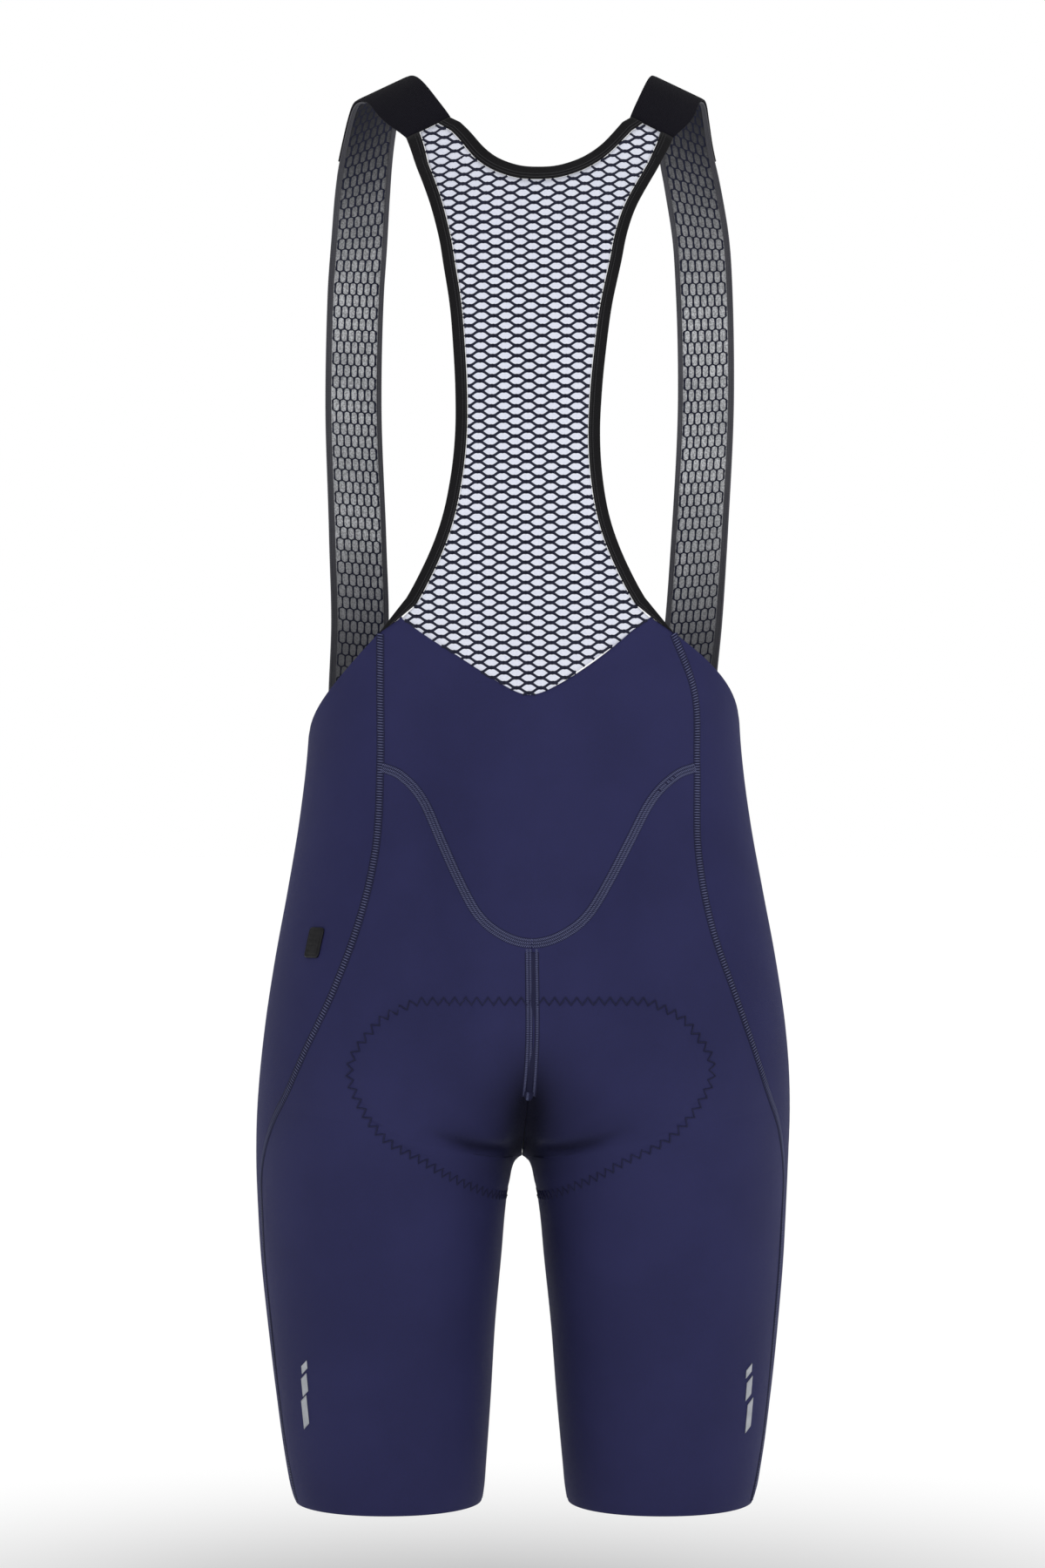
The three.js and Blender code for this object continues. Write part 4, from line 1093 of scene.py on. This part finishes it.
def makeMeshGround():
    rows = 61
    v = np.linspace(0, 1, rows)
    out = np.concatenate([np.linspace(0, 0.88, 27), np.linspace(0.88, 1, 7)[1:]])
    tabFrom = 0.88
    top = np.where(out[:, None] <= tabFrom + 1e-9, resampled(neckEdge, np.minimum(out / tabFrom, 1)),
                   mix(neckEdge[-1], meshEdge[0], ((out - tabFrom) / (1 - tabFrom))[:, None]))
    bottom = resampled(yokeEdge, out)
    edge = resampled(meshEdge, v)
    vv, oo = v[:, None, None], out[None, :, None]
    lengthwise = mix(top[None], bottom[None], vv)
    middle = mix(top[None, :1], bottom[None, :1], vv)
    corner = mix(top[None, -1:], bottom[None, -1:], vv)
    grid = lengthwise + mix(middle, edge[:, None], oo) - mix(middle, corner, oo)
    grid = np.concatenate([grid[:, :0:-1] * np.array([-1, 1]), grid], 1)
    x, z = grid[..., 0], grid[..., 1]
    p, n = onUpper(x, z, 1), outwardBack(x, z)
    high, low = meshLook["ground"]
    layers = [turned(p - n * d, 1) for d in (high, mix(high, low, 0.5), low)]
    return makeWall("meshBackGround", layers, meshGround, np.stack([x, z], -1))


def makeNet():
    pitchX, pitchZ = meshLook["column"], meshLook["row"]
    outline = meshOutline()
    columns = np.arange(-14, 15)
    rows = np.arange(-66, 0)
    ii, jj = np.meshgrid(columns, rows, indexing="ij")
    x = ii * pitchX
    z = (jj + 0.5) * pitchZ + np.where(ii % 2 == 0, 0, pitchZ / 2)
    knots = np.stack([x, z], -1).astype(float).reshape(-1, 2)
    ends = np.concatenate([
        np.stack([knots, knots + [pitchX, shift]], 1) for shift in (pitchZ / 2, -pitchZ / 2)])
    fine = np.linspace(0, 1, 33)
    bow = np.sin(fine * 2 * math.pi) * 0.42  # strands leave a knot level and slope between knots
    way = np.sign(ends[:, 1, 1] - ends[:, 0, 1])
    line = ends[:, None, 0] + (ends[:, None, 1] - ends[:, None, 0]) * fine[None, :, None]
    line[..., 1] -= way[:, None] * bow[None]
    line[..., 1] += 0.00035 * line[..., 0] ** 2 * ease((-300 - line[..., 1]) / 90)  # rows dip to the point
    inside = insideOutline(outline, line[..., 0], line[..., 1])
    u = np.linspace(0, 1, 9)
    paths, shares = [], []
    for k in np.nonzero(inside.sum(1) >= 4)[0]:  # a strand is cut short at the edge
        run = np.nonzero(inside[k])[0]
        at = mix(fine[run[0]], fine[run[-1]], u)
        paths.append(placesAt(at, fine, line[k]))
        shares.append(at)
    line, shares = np.array(paths), np.array(shares)
    p, n = onUpper(line[..., 0], line[..., 1], 1), outwardBack(line[..., 0], line[..., 1])
    thick = meshLook["strand"] / 2 * (1 + 0.6 * (np.abs(shares - 0.5) * 2) ** 3)
    return makeTubes("meshBackNet", turned(p - n * meshLook["sunk"], 1), thick,
                     np.full(thick.shape, meshLook["strandDepth"]), n, netYarn, sides=6)


pieces["mesh_back"] = makeMeshGround()
meshNet = makeNet()
print("mesh back made")


def onBack(x, z):  # place and outward way on the back above the waist, on either side
    p, n = onUpper(np.abs(x), z, 1), outwardBack(np.abs(x), z)
    flip = np.where(x < 0, -1, 1)
    p[..., 0] *= flip
    n[..., 0] *= flip
    return p, n


def tapeLayers(inner, outer):
    # a folded tape between two edges, rounded along both of its folds
    u = np.concatenate([[0, 0.03, 0.09, 0.2], np.linspace(0.35, 0.65, 3), [0.8, 0.91, 0.97, 1]])
    grid = mix(inner[:, None], outer[:, None], u[None, :, None])
    p, n = onBack(grid[..., 0], grid[..., 1])
    fold = np.clip(np.minimum(u, 1 - u) / 0.16, 0, 1)
    full = np.sqrt(1 - (1 - fold) ** 2)
    half = (bindingLook["out"] + bindingLook["in"]) / 2
    middle = (bindingLook["out"] - bindingLook["in"]) / 2
    high = middle + half * (0.25 + 0.75 * full)
    low = middle - half * (0.25 + 0.75 * full)
    groove = bindingLook["groove"] * bell(u - 0.72, 0.05)  # the stitch line sinks a little
    return p, n, high - groove, low


def makeBinding(name, inner, outer, side, over=0.0):
    if over:  # the lower end laps over the waist panel
        inner, outer = (np.concatenate([e, [e[-1] + unit(e[-1] - e[-6]) * over]]) for e in (inner, outer))
    p, n, high, low = tapeLayers(inner, outer)
    layers = [turned(p + n * h[None, :, None], side) for h in (high, mix(high, low, 0.5), low)]
    wall = makeWall(name, layers, bindingTape)
    # two rows of cover stitch near the inner fold
    rows = []
    for share in bindingLook["stitchRows"]:
        path = mix(inner, outer, share)
        path = resampled(path, np.linspace(0.004, 0.996, int(len(path) * 2.6)))
        q, m = onBack(path[:, 0], path[:, 1])
        centres = turned(q + m * (bindingLook["out"] - 0.1), side)
        m = m * np.array([side, 1, 1])
        rows.append((centres, np.gradient(centres, axis=0), m))
    centres, ways, normals = (np.concatenate(k) for k in zip(*rows))
    stitches = makeStitches(name + "Stitches", centres, ways, normals, *bindingLook["stitch"], blackThread)
    return wall, stitches


bindingStitches = {}
for word, side in bothSides:
    name = f"side_binding_{word}"
    pieces[name], bindingStitches[name] = makeBinding(
        f"sideBinding_{word}", meshSide(0), meshSide(bindingLook["side"]), side, bindingLook["lap"])
neckOuter, neckInner = neckSide(0), neckSide(bindingLook["neck"])
mirror = np.array([-1, 1])
pieces["neck_binding"], bindingStitches["neck_binding"] = makeBinding(
    "neckBinding", np.concatenate([neckOuter[:0:-1] * mirror, neckOuter]),
    np.concatenate([neckInner[:0:-1] * mirror, neckInner]), 1)
print("bindings made")


def onStrap(way, across):
    inner, outer = np.moveaxis(along(strapRows, way), -1, 0)
    x = mix(inner, outer, across)
    beyond = np.maximum(way - 90, 0) * fit["shoulderDrop"] * math.pi / 180
    drop = dropAt(np.minimum(way, 90)) + beyond
    level = np.where(way < 0, 1, 1 - ease(np.minimum(drop / fit["levelDrop"], 1)))
    z = ridgeZ(x) * level - drop
    y = np.where(way < 0, depthAt(x, z, 1), depthAt(x, z, -1)) * rounding(x, z)
    return np.stack([x, y, z], -1)


def frontEdge(x):  # the front top edge's height at a distance out
    t = np.linspace(0.3, 1, 41)
    z = along(frontTopRows, t)[:, 0]
    slices = slicesAt(z)
    edge = placeOn(slices, mix(seamOn(slices, 1), slices["length"], t))
    return np.interp(x, edge[::-1, 0], edge[::-1, 2])


strapEnds = np.linspace(0, 1, 9)
strapLowest = frontEdge(onStrap(np.full(9, 250.0), strapEnds)[:, 0]) - fit["strapLap"]


def strapPlace(way, across):  # the strap's own line: below the shoulder its rows level out
    way, across = np.broadcast_arrays(np.asarray(way, float), np.asarray(across, float))
    p = onStrap(way, across)
    lowest = np.interp(across, strapEnds, strapLowest)
    start = onStrap(np.full(across.shape, 100.0), across)[..., 2]
    level = mix(start, lowest, (way - 100) / 158)
    z = np.where(way > 100, level, p[..., 2])
    front = depthAt(p[..., 0], z, -1) * rounding(p[..., 0], z)
    return np.stack([p[..., 0], np.where(way > 100, front, p[..., 1]), z], -1)


def strapOutward(way, across):
    e, f = 0.6, 0.02
    a = strapPlace(way + e, across) - strapPlace(way - e, across)
    b = strapPlace(way, across + f) - strapPlace(way, across - f)
    return unit(np.cross(a, b))


strapLook = {"thick": 1.3, "columns": 7, "row": 7.8, "line": 2.3, "edge": 0.085, "ground": (0.45, 0.95)}
strapWays = np.linspace(fit["strapBackEnd"], 258, 171)
strapLine = strapPlace(strapWays, 0.5)
strapWalk = walkAlong(strapLine)


def strapRise(way):
    share = np.clip((way - fit["strapBackEnd"]) / (258 - fit["strapBackEnd"]), 0, 1)
    rows = np.where(way <= 100, 12 * (way - fit["strapBackEnd"]) / (100 - fit["strapBackEnd"]), 12 + 15 * (way - 100) / 158)
    return fit["strapLift"] * ease(rows / 27) + 0 * share


def strapAt(way, across, height, side):
    p = strapPlace(way, across)
    n = strapOutward(way, across)
    return turned(p + n * (strapRise(way) + height)[..., None], side), n * np.array([side, 1, 1])


def makeStrap(word, side):
    edge = strapLook["edge"]
    across = np.linspace(edge * 0.9, 1 - edge * 0.9, 15)
    wayGrid, acrossGrid = np.meshgrid(strapWays, across, indexing="ij")
    thick = strapLook["thick"]
    layers = []
    for high in (thick - strapLook["ground"][0], thick * 0.5, thick - strapLook["ground"][1]):
        layers.append(strapAt(wayGrid, acrossGrid, high + 0 * wayGrid, side)[0])
    weave = np.stack([acrossGrid * 38, np.interp(wayGrid, strapWays, strapWalk)], -1)
    ground = makeWall(f"strapGround_{word}", layers, strapGround, weave)
    # ribbed selvedges along both edges
    rims = []
    for title, low, high in (("Inner", 0.0, edge), ("Outer", 1 - edge, 1.0)):
        u = np.linspace(low, high, 13)
        rib = 0.5 + 0.5 * np.cos(np.linspace(0, 6 * math.pi, 13))
        wayG, acrossG = np.meshgrid(strapWays, u, indexing="ij")
        top = thick - 0.05 - 0.28 * (1 - rib)
        bottom = 0.05 + 0.28 * (1 - rib)
        sheet = [strapAt(wayG, acrossG, h + 0 * wayG, side)[0] for h in (top, (top + bottom) / 2, bottom)]
        rims.append(makeWall(f"strapSelvedge{title}_{word}", sheet, selvedgeRib,
                             np.stack([acrossG * 38, np.interp(wayG, strapWays, strapWalk)], -1)))
    # knitted net of long cells, staggered row by row
    columns, row = strapLook["columns"], strapLook["row"]
    start, stop = edge, 1 - edge
    pitch = (stop - start) / (columns - 0.5)
    rows = int(strapWalk[-1] / row)
    peak = 0.17 * row
    lines = []
    for j in range(rows + 1):
        low, high = j * row + peak * 0.5, (j + 1) * row - peak * 0.5
        shift = 0.5 * pitch if j % 2 else 0.0
        for k in range(columns + 1):
            u = start + k * pitch + shift - 0.25 * pitch
            if start <= u <= stop and high <= strapWalk[-1] - 1:
                lines.append([(u, low), (u, high)])
            for way in (-1, 1):
                v = u + way * pitch / 2
                if start - 1e-6 <= u <= stop + 1e-6 and start - 1e-6 <= v <= stop + 1e-6 and (j + 1) * row < strapWalk[-1]:
                    lines.append([(u, (j + 1) * row - peak * 0.5), (v, (j + 1) * row + peak * 0.5)])
    lines = np.array(lines)
    t = np.linspace(0, 1, 7)
    line = lines[:, None, 0] + (lines[:, None, 1] - lines[:, None, 0]) * t[None, :, None]
    way = np.interp(line[..., 1], strapWalk, strapWays)
    p, n = strapAt(way, line[..., 0], thick * 0.52 + 0 * way, side)
    upright = np.abs(lines[:, 1, 0] - lines[:, 0, 0]) < 1e-6
    wide = np.where(upright, strapLook["line"] / 2, strapLook["line"] * 0.36)[:, None] * (1 + 0.2 * np.cos(t * 2 * math.pi))
    net = makeTubes(f"strapNet_{word}", p, wide, np.full(p.shape[:2], 0.56), n, netYarn, sides=6)
    return ground, rims, net


for word, side in bothSides:
    ground, rims, net = makeStrap(word, side)
    pieces[f"strap_{word}"] = ground
print("straps made")


def makeTab(word, side):
    tabLook = {"thick": 1.5, "over": 1.65, "under": -1.2}
    endWay = fit["strapBackEnd"] + (100 - fit["strapBackEnd"]) / 12 * 6
    ways = np.linspace(fit["tabBackEnd"], endWay, 49)
    across = withEdges(18, 32.0, (0.3, 0.9, 1.8))
    wayGrid, acrossGrid = np.meshgrid(ways, across, indexing="ij")
    low = np.where(wayGrid >= fit["strapBackEnd"], tabLook["over"], mix(tabLook["under"], tabLook["over"], ease(
        (wayGrid - fit["tabBackEnd"]) / (fit["strapBackEnd"] - fit["tabBackEnd"]))))
    p = onStrap(wayGrid, acrossGrid)
    a = onStrap(wayGrid + 0.6, acrossGrid) - onStrap(wayGrid - 0.6, acrossGrid)
    b = onStrap(wayGrid, acrossGrid + 0.02) - onStrap(wayGrid, acrossGrid - 0.02)
    n = unit(np.cross(a, b))
    down, over = cumulative(p, 0), cumulative(p, 1)
    dip = 0.35 * bell(fromEdges(down, over), 1.2)
    layers = []
    for share in (1.0, 0.66, 0.33, 0.0):
        h = low + tabLook["thick"] * share - dip * (2 * share - 1) * 0.6
        layers.append(turned(p + n * h[..., None], side))
    return makeWall(f"shoulderTab_{word}", layers, tabKnit, np.stack([over, down], -1))


for word, side in bothSides:
    pieces[f"shoulder_tab_{word}"] = makeTab(word, side)
print("tabs made")


def makeClothTree():
    points, polygons = [], []
    for node in ("back_yoke", "back_leg_left", "back_leg_right", "front_leg_left", "front_leg_right"):
        mesh = pieces[node].data
        base = len(points)
        points.extend(v.co.copy() for v in mesh.vertices)
        polygons.extend([base + i for i in f.vertices] for f in mesh.polygons)
    return BVHTree.FromPolygons(points, polygons)


clothTree = makeClothTree()


def onCloth(p, n, lift):  # the place on the cloth's outer face, found along the outward line
    out = np.array(p, float)
    for i in range(len(out)):
        start = Vector((out[i] + n[i] * 4.0) * 0.001)
        hit, _, _, _ = clothTree.ray_cast(start, Vector(-n[i]), 0.008)
        if hit is not None:
            out[i] = np.array(hit) * 1000
    return out + n * lift


def turnedWay(p, way, side):  # a direction on the form, moved with the garment's turn
    return unit(turned(p + way * 0.5, side) - turned(p - way * 0.5, side))


def seamRows(path, offsets, pitch, side, lift):
    # places along a seam on the form, with rows beside it: centres, ways and normals for each row
    path = onFigure(path)
    walked = walkAlong(path)
    at = np.arange(pitch / 2, walked[-1], pitch)
    q = onFigure(placesAt(at, walked, path), 4)
    n = outwardAt(q)
    way = unit(np.gradient(q, axis=0))
    beside = unit(np.cross(n, way))
    rows = []
    for offset in offsets:
        place = onFigure(q + beside * offset, 5)
        m = turnedWay(place, outwardAt(place), side)
        rows.append((onCloth(turned(place, side), m, lift), turnedWay(place, way, side),
                     turnedWay(place, beside, side), m))
    return rows


# rows beside the seam's line, then each stitch's pitch, size, slant and lift, and the band's half width
seamLook = {
    "seat": {"rows": (-1.9, 0.1, 2.0), "pitch": 1.15, "length": 2.0, "width": 0.6, "slants": (62, 68, 62),
             "lift": 0.36, "band": 3.2},
    "centreBack": {"rows": (-3.0, -0.9, 2.9), "pitch": 1.05, "length": 1.8, "width": 0.55,
                   "slants": (80, 75, 82), "lift": 0.34, "band": 4.4},
    "centreFront": {"rows": (-2.2, 0.0, 2.2), "pitch": 1.2, "length": 1.9, "width": 0.55,
                    "slants": (65, 72, 65), "lift": 0.2},
    "side": {"rows": (0.0,), "pitch": 1.75, "length": 4.4, "width": 0.62, "slants": (84,), "lift": 0.34,
             "band": 2.8},
    "inseam": {"rows": (-1.5, 0.6), "pitch": 1.2, "length": 1.7, "width": 0.5, "slants": (58, 66),
               "lift": 0.2},
}


def stitchedSeam(name, runs, look):
    centres, ways, normals = [], [], []
    for path, side in runs:
        rows = seamRows(path, look["rows"], look["pitch"], side, look["lift"])
        for (place, way, beside, m), slant in zip(rows, np.radians(look["slants"])):
            centres.append(place)
            ways.append(way * math.cos(slant) + beside * math.sin(slant))
            normals.append(m)
    return makeStitches(name, np.concatenate(centres), np.concatenate(ways), np.concatenate(normals),
                        look["length"], look["width"], look["width"] * 0.75, seamThread)


def makeSeamBed(name, path, side, halfWidth):
    # the flat band of cover thread that the needle rows lie on, closed all round; its thread is darker than the cloth,
    # with painted shade along the seam
    offsets = np.linspace(-halfWidth, halfWidth, 7)
    rows = seamRows(path, offsets, 1.15, side, 0.0)
    place = np.stack([row[0] for row in rows], 1)
    m = np.stack([row[3] for row in rows], 1)
    crown = 0.1 + 0.12 * np.sqrt(np.maximum(1 - (offsets / halfWidth) ** 2, 0))
    layers = [place + m * (crown * share - 0.2 * (1 - share))[None, :, None] for share in (1.0, 0.5, 0.0)]
    lengthwise = cumulative(place, 0)
    across = np.broadcast_to(offsets, lengthwise.shape)
    return makeWall(name, layers, coverThreadAndSeamShade, np.stack([across, lengthwise - across * 0.5], -1))


def seatSeamPath(side):
    t = np.linspace(0.0, 0.985, 120)
    z = along(seatSeamRows, t)[:, 0]
    return onYoke(t, z, side, 0.0)


def centrePath(way, top, bottom):
    z = crotchHeights(top, 160, way)
    z = z[z > bottom]
    y = depthAt(0 * z, z, way)
    return np.stack([0 * z, y, z], -1)


def sidePath(side, top=-362.0, bottom=-919.0):
    z = np.linspace(top, bottom, 220)
    slices = slicesAt(z)
    return placeOn(slices, seamOn(slices, side))


def inseamPath():
    z = np.linspace(fit["crotch"] - 2, fit["hem"] + 1, 90)
    return reach(np.full(90, math.pi), z)


seams = [
    stitchedSeam("seatSeamStitches", [(seatSeamPath(1), 1), (seatSeamPath(-1), -1)], seamLook["seat"]),
    stitchedSeam("centreBackStitches", [(centrePath(1, -560.5, -656.0), 1)], seamLook["centreBack"]),
]
for word, side in bothSides:
    seams.append(makeSeamBed(f"seatSeamBand_{word}", seatSeamPath(side), side, seamLook["seat"]["band"]))
    seams.append(makeSeamBed(f"sideSeamBand_{word}", sidePath(side), side, seamLook["side"]["band"]))
seams.append(makeSeamBed("centreBackBand", centrePath(1, -562.0, -656.0), 1, seamLook["centreBack"]["band"]))
seams.append(stitchedSeam("centreFrontStitches", [(centrePath(-1, -449.0, -690.0), 1)], seamLook["centreFront"]))
for word, side in bothSides:
    seams.append(stitchedSeam(f"sideSeamStitches_{word}", [(sidePath(side), side)], seamLook["side"]))
    seams.append(stitchedSeam(f"inseamStitches_{word}", [(inseamPath(), side)], seamLook["inseam"]))
print("seams stitched")

padStitch = {"period": 6.9, "height": 5.2, "radius": 0.5, "lift": 0.16}


def makePadStitch():
    # three-step zigzag round the pad, on the outside of the shorts
    left = padWalks[:, -1]
    backRow, frontRow = padWalks[0], padWalks[-1]
    loop = [(p, 1) for p in backRow[:-1]] + [(p, 1) for p in left] + [(p, 1) for p in frontRow[-2::-1]]
    half = np.array([p for p, _ in loop])
    walked = walkAlong(half)
    count = int(round(walked[-1] / padStitch["period"]))
    at = np.linspace(0, walked[-1], count * 12 + 1)
    q = onFigure(placesAt(at, walked, half), 5)
    smooth = q.copy()
    for _ in range(12):
        smooth[1:-1] = (smooth[:-2] + 2 * smooth[1:-1] + smooth[2:]) / 4
    n = outwardAt(smooth)
    way = unit(np.gradient(smooth, axis=0))
    beside = unit(np.cross(n, way))
    phase = at / walked[-1] * count
    wave = 2 * np.abs(2 * (phase - np.floor(phase + 0.5))) - 1
    place = onFigure(smooth + beside * (wave * padStitch["height"] / 2)[:, None], 5)
    m = outwardAt(place)
    paths = []
    for side in (-1, 1):
        ways = turnedWay(place, m, side)
        paths.append((onCloth(turned(place, side), ways, padStitch["lift"]), ways))
    loopPath = np.concatenate([paths[1][0], paths[0][0][-2:0:-1]])
    normals = np.concatenate([paths[1][1], paths[0][1][-2:0:-1]])
    wide = np.full((1, len(loopPath)), padStitch["radius"])
    return makeTubes("padZigzagStitch", loopPath[None], wide, wide * 0.8, normals[None], zigzagThread,
                     sides=6, closed=True)


padZigzag = makePadStitch()
print("seat pad stitched round")


hipLabel = {"left": 136, "height": -558, "width": 13.5, "tall": 19.8, "thick": 1.2, "corner": 2.6, "gap": 0.12}
reflectors = {"left": 138.5, "right": 143.5, "rightDrop": 3, "width": 5.4, "slant": 4.2, "thick": 0.6, "gap": 0.12,
              "heights": (-827.5, -838.9, -856.6), "tall": (5.2, 11.7, 18.4)}


def patchFrame(x, z):
    centre = np.array([x, float(depthAt(np.array(float(x)), np.array(float(z)), 1)), z])
    n = outwardAt(centre)
    down = unit(np.array([0, 0, -1.0]) + n * n[2])
    return centre, n, np.cross(n, down), down


def makePatch(name, look, side, x, z, material, shape, grooves=None):
    centre, n, around, down = patchFrame(x, z)
    over, fall = shape
    p = onFigure(centre + around * over[..., None] + down * fall[..., None])
    m = outwardAt(p)
    m = turnedWay(p, m, side)
    flat = onCloth(turned(p, side).reshape(-1, 3), m.reshape(-1, 3), look["gap"]).reshape(p.shape)
    cut = 0 if grooves is None else grooves(over, fall)
    dome = look["thick"] - cut
    rows, columns = over.shape
    edge = np.zeros(over.shape)
    edge[0], edge[-1], edge[:, 0], edge[:, -1] = 1, 1, 1, 1
    layers = []
    for share in (1.0, 0.5, 0.0):
        h = dome * share - (0.25 * look["thick"] * edge if share == 1 else 0)
        layers.append(flat + m * (h + 0 * edge)[..., None])
    return makeWall(name, layers, material, np.stack([over, fall], -1))


def squareGrid(count):
    a = np.linspace(-1, 1, count)
    return np.meshgrid(a, a)


def makeLabel():
    a, b = squareGrid(33)
    w, h, c = hipLabel["width"] / 2, hipLabel["tall"] / 2, hipLabel["corner"]
    # a square grid pushed out to a rounded rectangle
    reachOut = np.maximum(np.abs(a), np.abs(b))
    angle = np.arctan2(b, a)
    ca, sa = np.abs(np.cos(angle)), np.abs(np.sin(angle))
    straight = np.minimum(w / np.maximum(ca, 1e-9), h / np.maximum(sa, 1e-9))
    cx, cz = w - c, h - c
    dot = ca * cx + sa * cz
    arc = dot + np.sqrt(np.maximum(dot * dot - (cx * cx + cz * cz - c * c), 0))
    onCorner = (straight * ca > cx) & (straight * sa > cz)
    radius = np.where(onCorner, arc, straight) * reachOut
    over, fall = radius * np.cos(angle), radius * np.sin(angle)

    def grooves(x, z):
        rim = np.exp(-((np.maximum(np.abs(x) / w, np.abs(z) / h) - 0.82) / 0.035) ** 2)
        lines = np.exp(-((((z + 3.5) % 3.5) - 1.75) / 0.45) ** 2) * ((np.abs(x) < w * 0.62) & (np.abs(z) < h * 0.62))
        return 0.3 * rim + 0.28 * lines

    return makePatch("hipLabel", hipLabel, 1, hipLabel["left"], hipLabel["height"], labelRubber, (over, fall), grooves)


def makeReflector(word, side, k):
    a, b = squareGrid(11)
    over = a * reflectors["width"] / 2
    fall = b * reflectors["tall"][k] / 2 - side * a * reflectors["slant"] / 2
    z = reflectors["heights"][k] - (reflectors["rightDrop"] if side < 0 else 0)
    return makePatch(f"reflector_{word}_{k + 1}", reflectors, side, reflectors[word], z, reflectiveFilm, (over, fall))


pieces["hip_label"] = makeLabel()
for word, side in bothSides:
    for k in range(3):
        pieces[f"reflector_{word}_{k + 1}"] = makeReflector(word, side, k)
print("label and reflective marks made")

# hide each imported node that a made piece takes the place of
for node, piece in pieces.items():
    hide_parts(node)

studio = {"floorHeight": -1.02, "floorSize": 30.0, "world": 0.42, "key": 24.0, "fill": 4.0, "top": 7.0}


def makeFloor():
    bpy.ops.mesh.primitive_circle_add(vertices=96, radius=studio["floorSize"], fill_type="NGON",
                                      location=(0, 0, studio["floorHeight"]))
    floor = bpy.context.object
    floor.name = "paleFloor"
    material, tree, shader, _, place = startMaterial(
        "paleFloorPaint", {"Roughness": 0.9, "Specular IOR Level": 0.1})
    far = tree.nodes.new("ShaderNodeVectorMath")
    far.operation = "LENGTH"
    tree.links.new(place, far.inputs[0])
    grain = tree.nodes.new("ShaderNodeTexNoise")
    grain.inputs["Scale"].default_value = 40.0
    speckle = mathNode(tree, "MULTIPLY", grain.outputs["Fac"], 0.06)
    base = colourMix(tree, speckle, (0.9, 0.9, 0.9), (0.84, 0.84, 0.85))
    glow = rampNode(tree, far.outputs["Value"], 0.0, 0.85)
    tree.links.new(colourMix(tree, glow, base, (0.0, 0.0, 0.0)), shader.inputs["Base Color"])
    tree.links.new(colourMix(tree, glow, (0.0, 0.0, 0.0), (1.0, 1.0, 1.0)), shader.inputs["Emission Color"])
    shader.inputs["Emission Strength"].default_value = 1.0
    floor.data.materials.append(material)


def addLight(name, place, aim, size, power):
    data = bpy.data.lights.new(name, "AREA")
    data.size = size
    data.energy = power
    light = bpy.data.objects.new(name, data)
    light.location = place
    way = np.array(aim) - np.array(place)
    light.rotation_euler = (math.atan2(math.hypot(way[0], way[1]), -way[2]), 0, math.atan2(-way[0], way[1]))
    bpy.context.scene.collection.objects.link(light)


world = bpy.data.worlds.new("whiteStudio")
world.use_nodes = True
backdrop = world.node_tree.nodes["Background"]
backdrop.inputs["Color"].default_value = (1, 1, 1, 1)
seen = world.node_tree.nodes.new("ShaderNodeLightPath")
strength = world.node_tree.nodes.new("ShaderNodeMapRange")
strength.inputs["To Min"].default_value = studio["world"]
strength.inputs["To Max"].default_value = 1.0  # pure white where it is seen
world.node_tree.links.new(seen.outputs["Is Camera Ray"], strength.inputs["Value"])
world.node_tree.links.new(strength.outputs["Result"], backdrop.inputs["Strength"])
bpy.context.scene.world = world
makeFloor()
addLight("keyLight", (-1.1, 2.5, 0.9), (0, 0, -0.45), 1.6, studio["key"])
addLight("fillLight", (1.6, 2.2, 0.1), (0, 0, -0.5), 1.8, studio["fill"])
addLight("topLight", (0.0, -0.4, 1.9), (0, 0, -0.4), 1.5, studio["top"])
print("floor and light set")
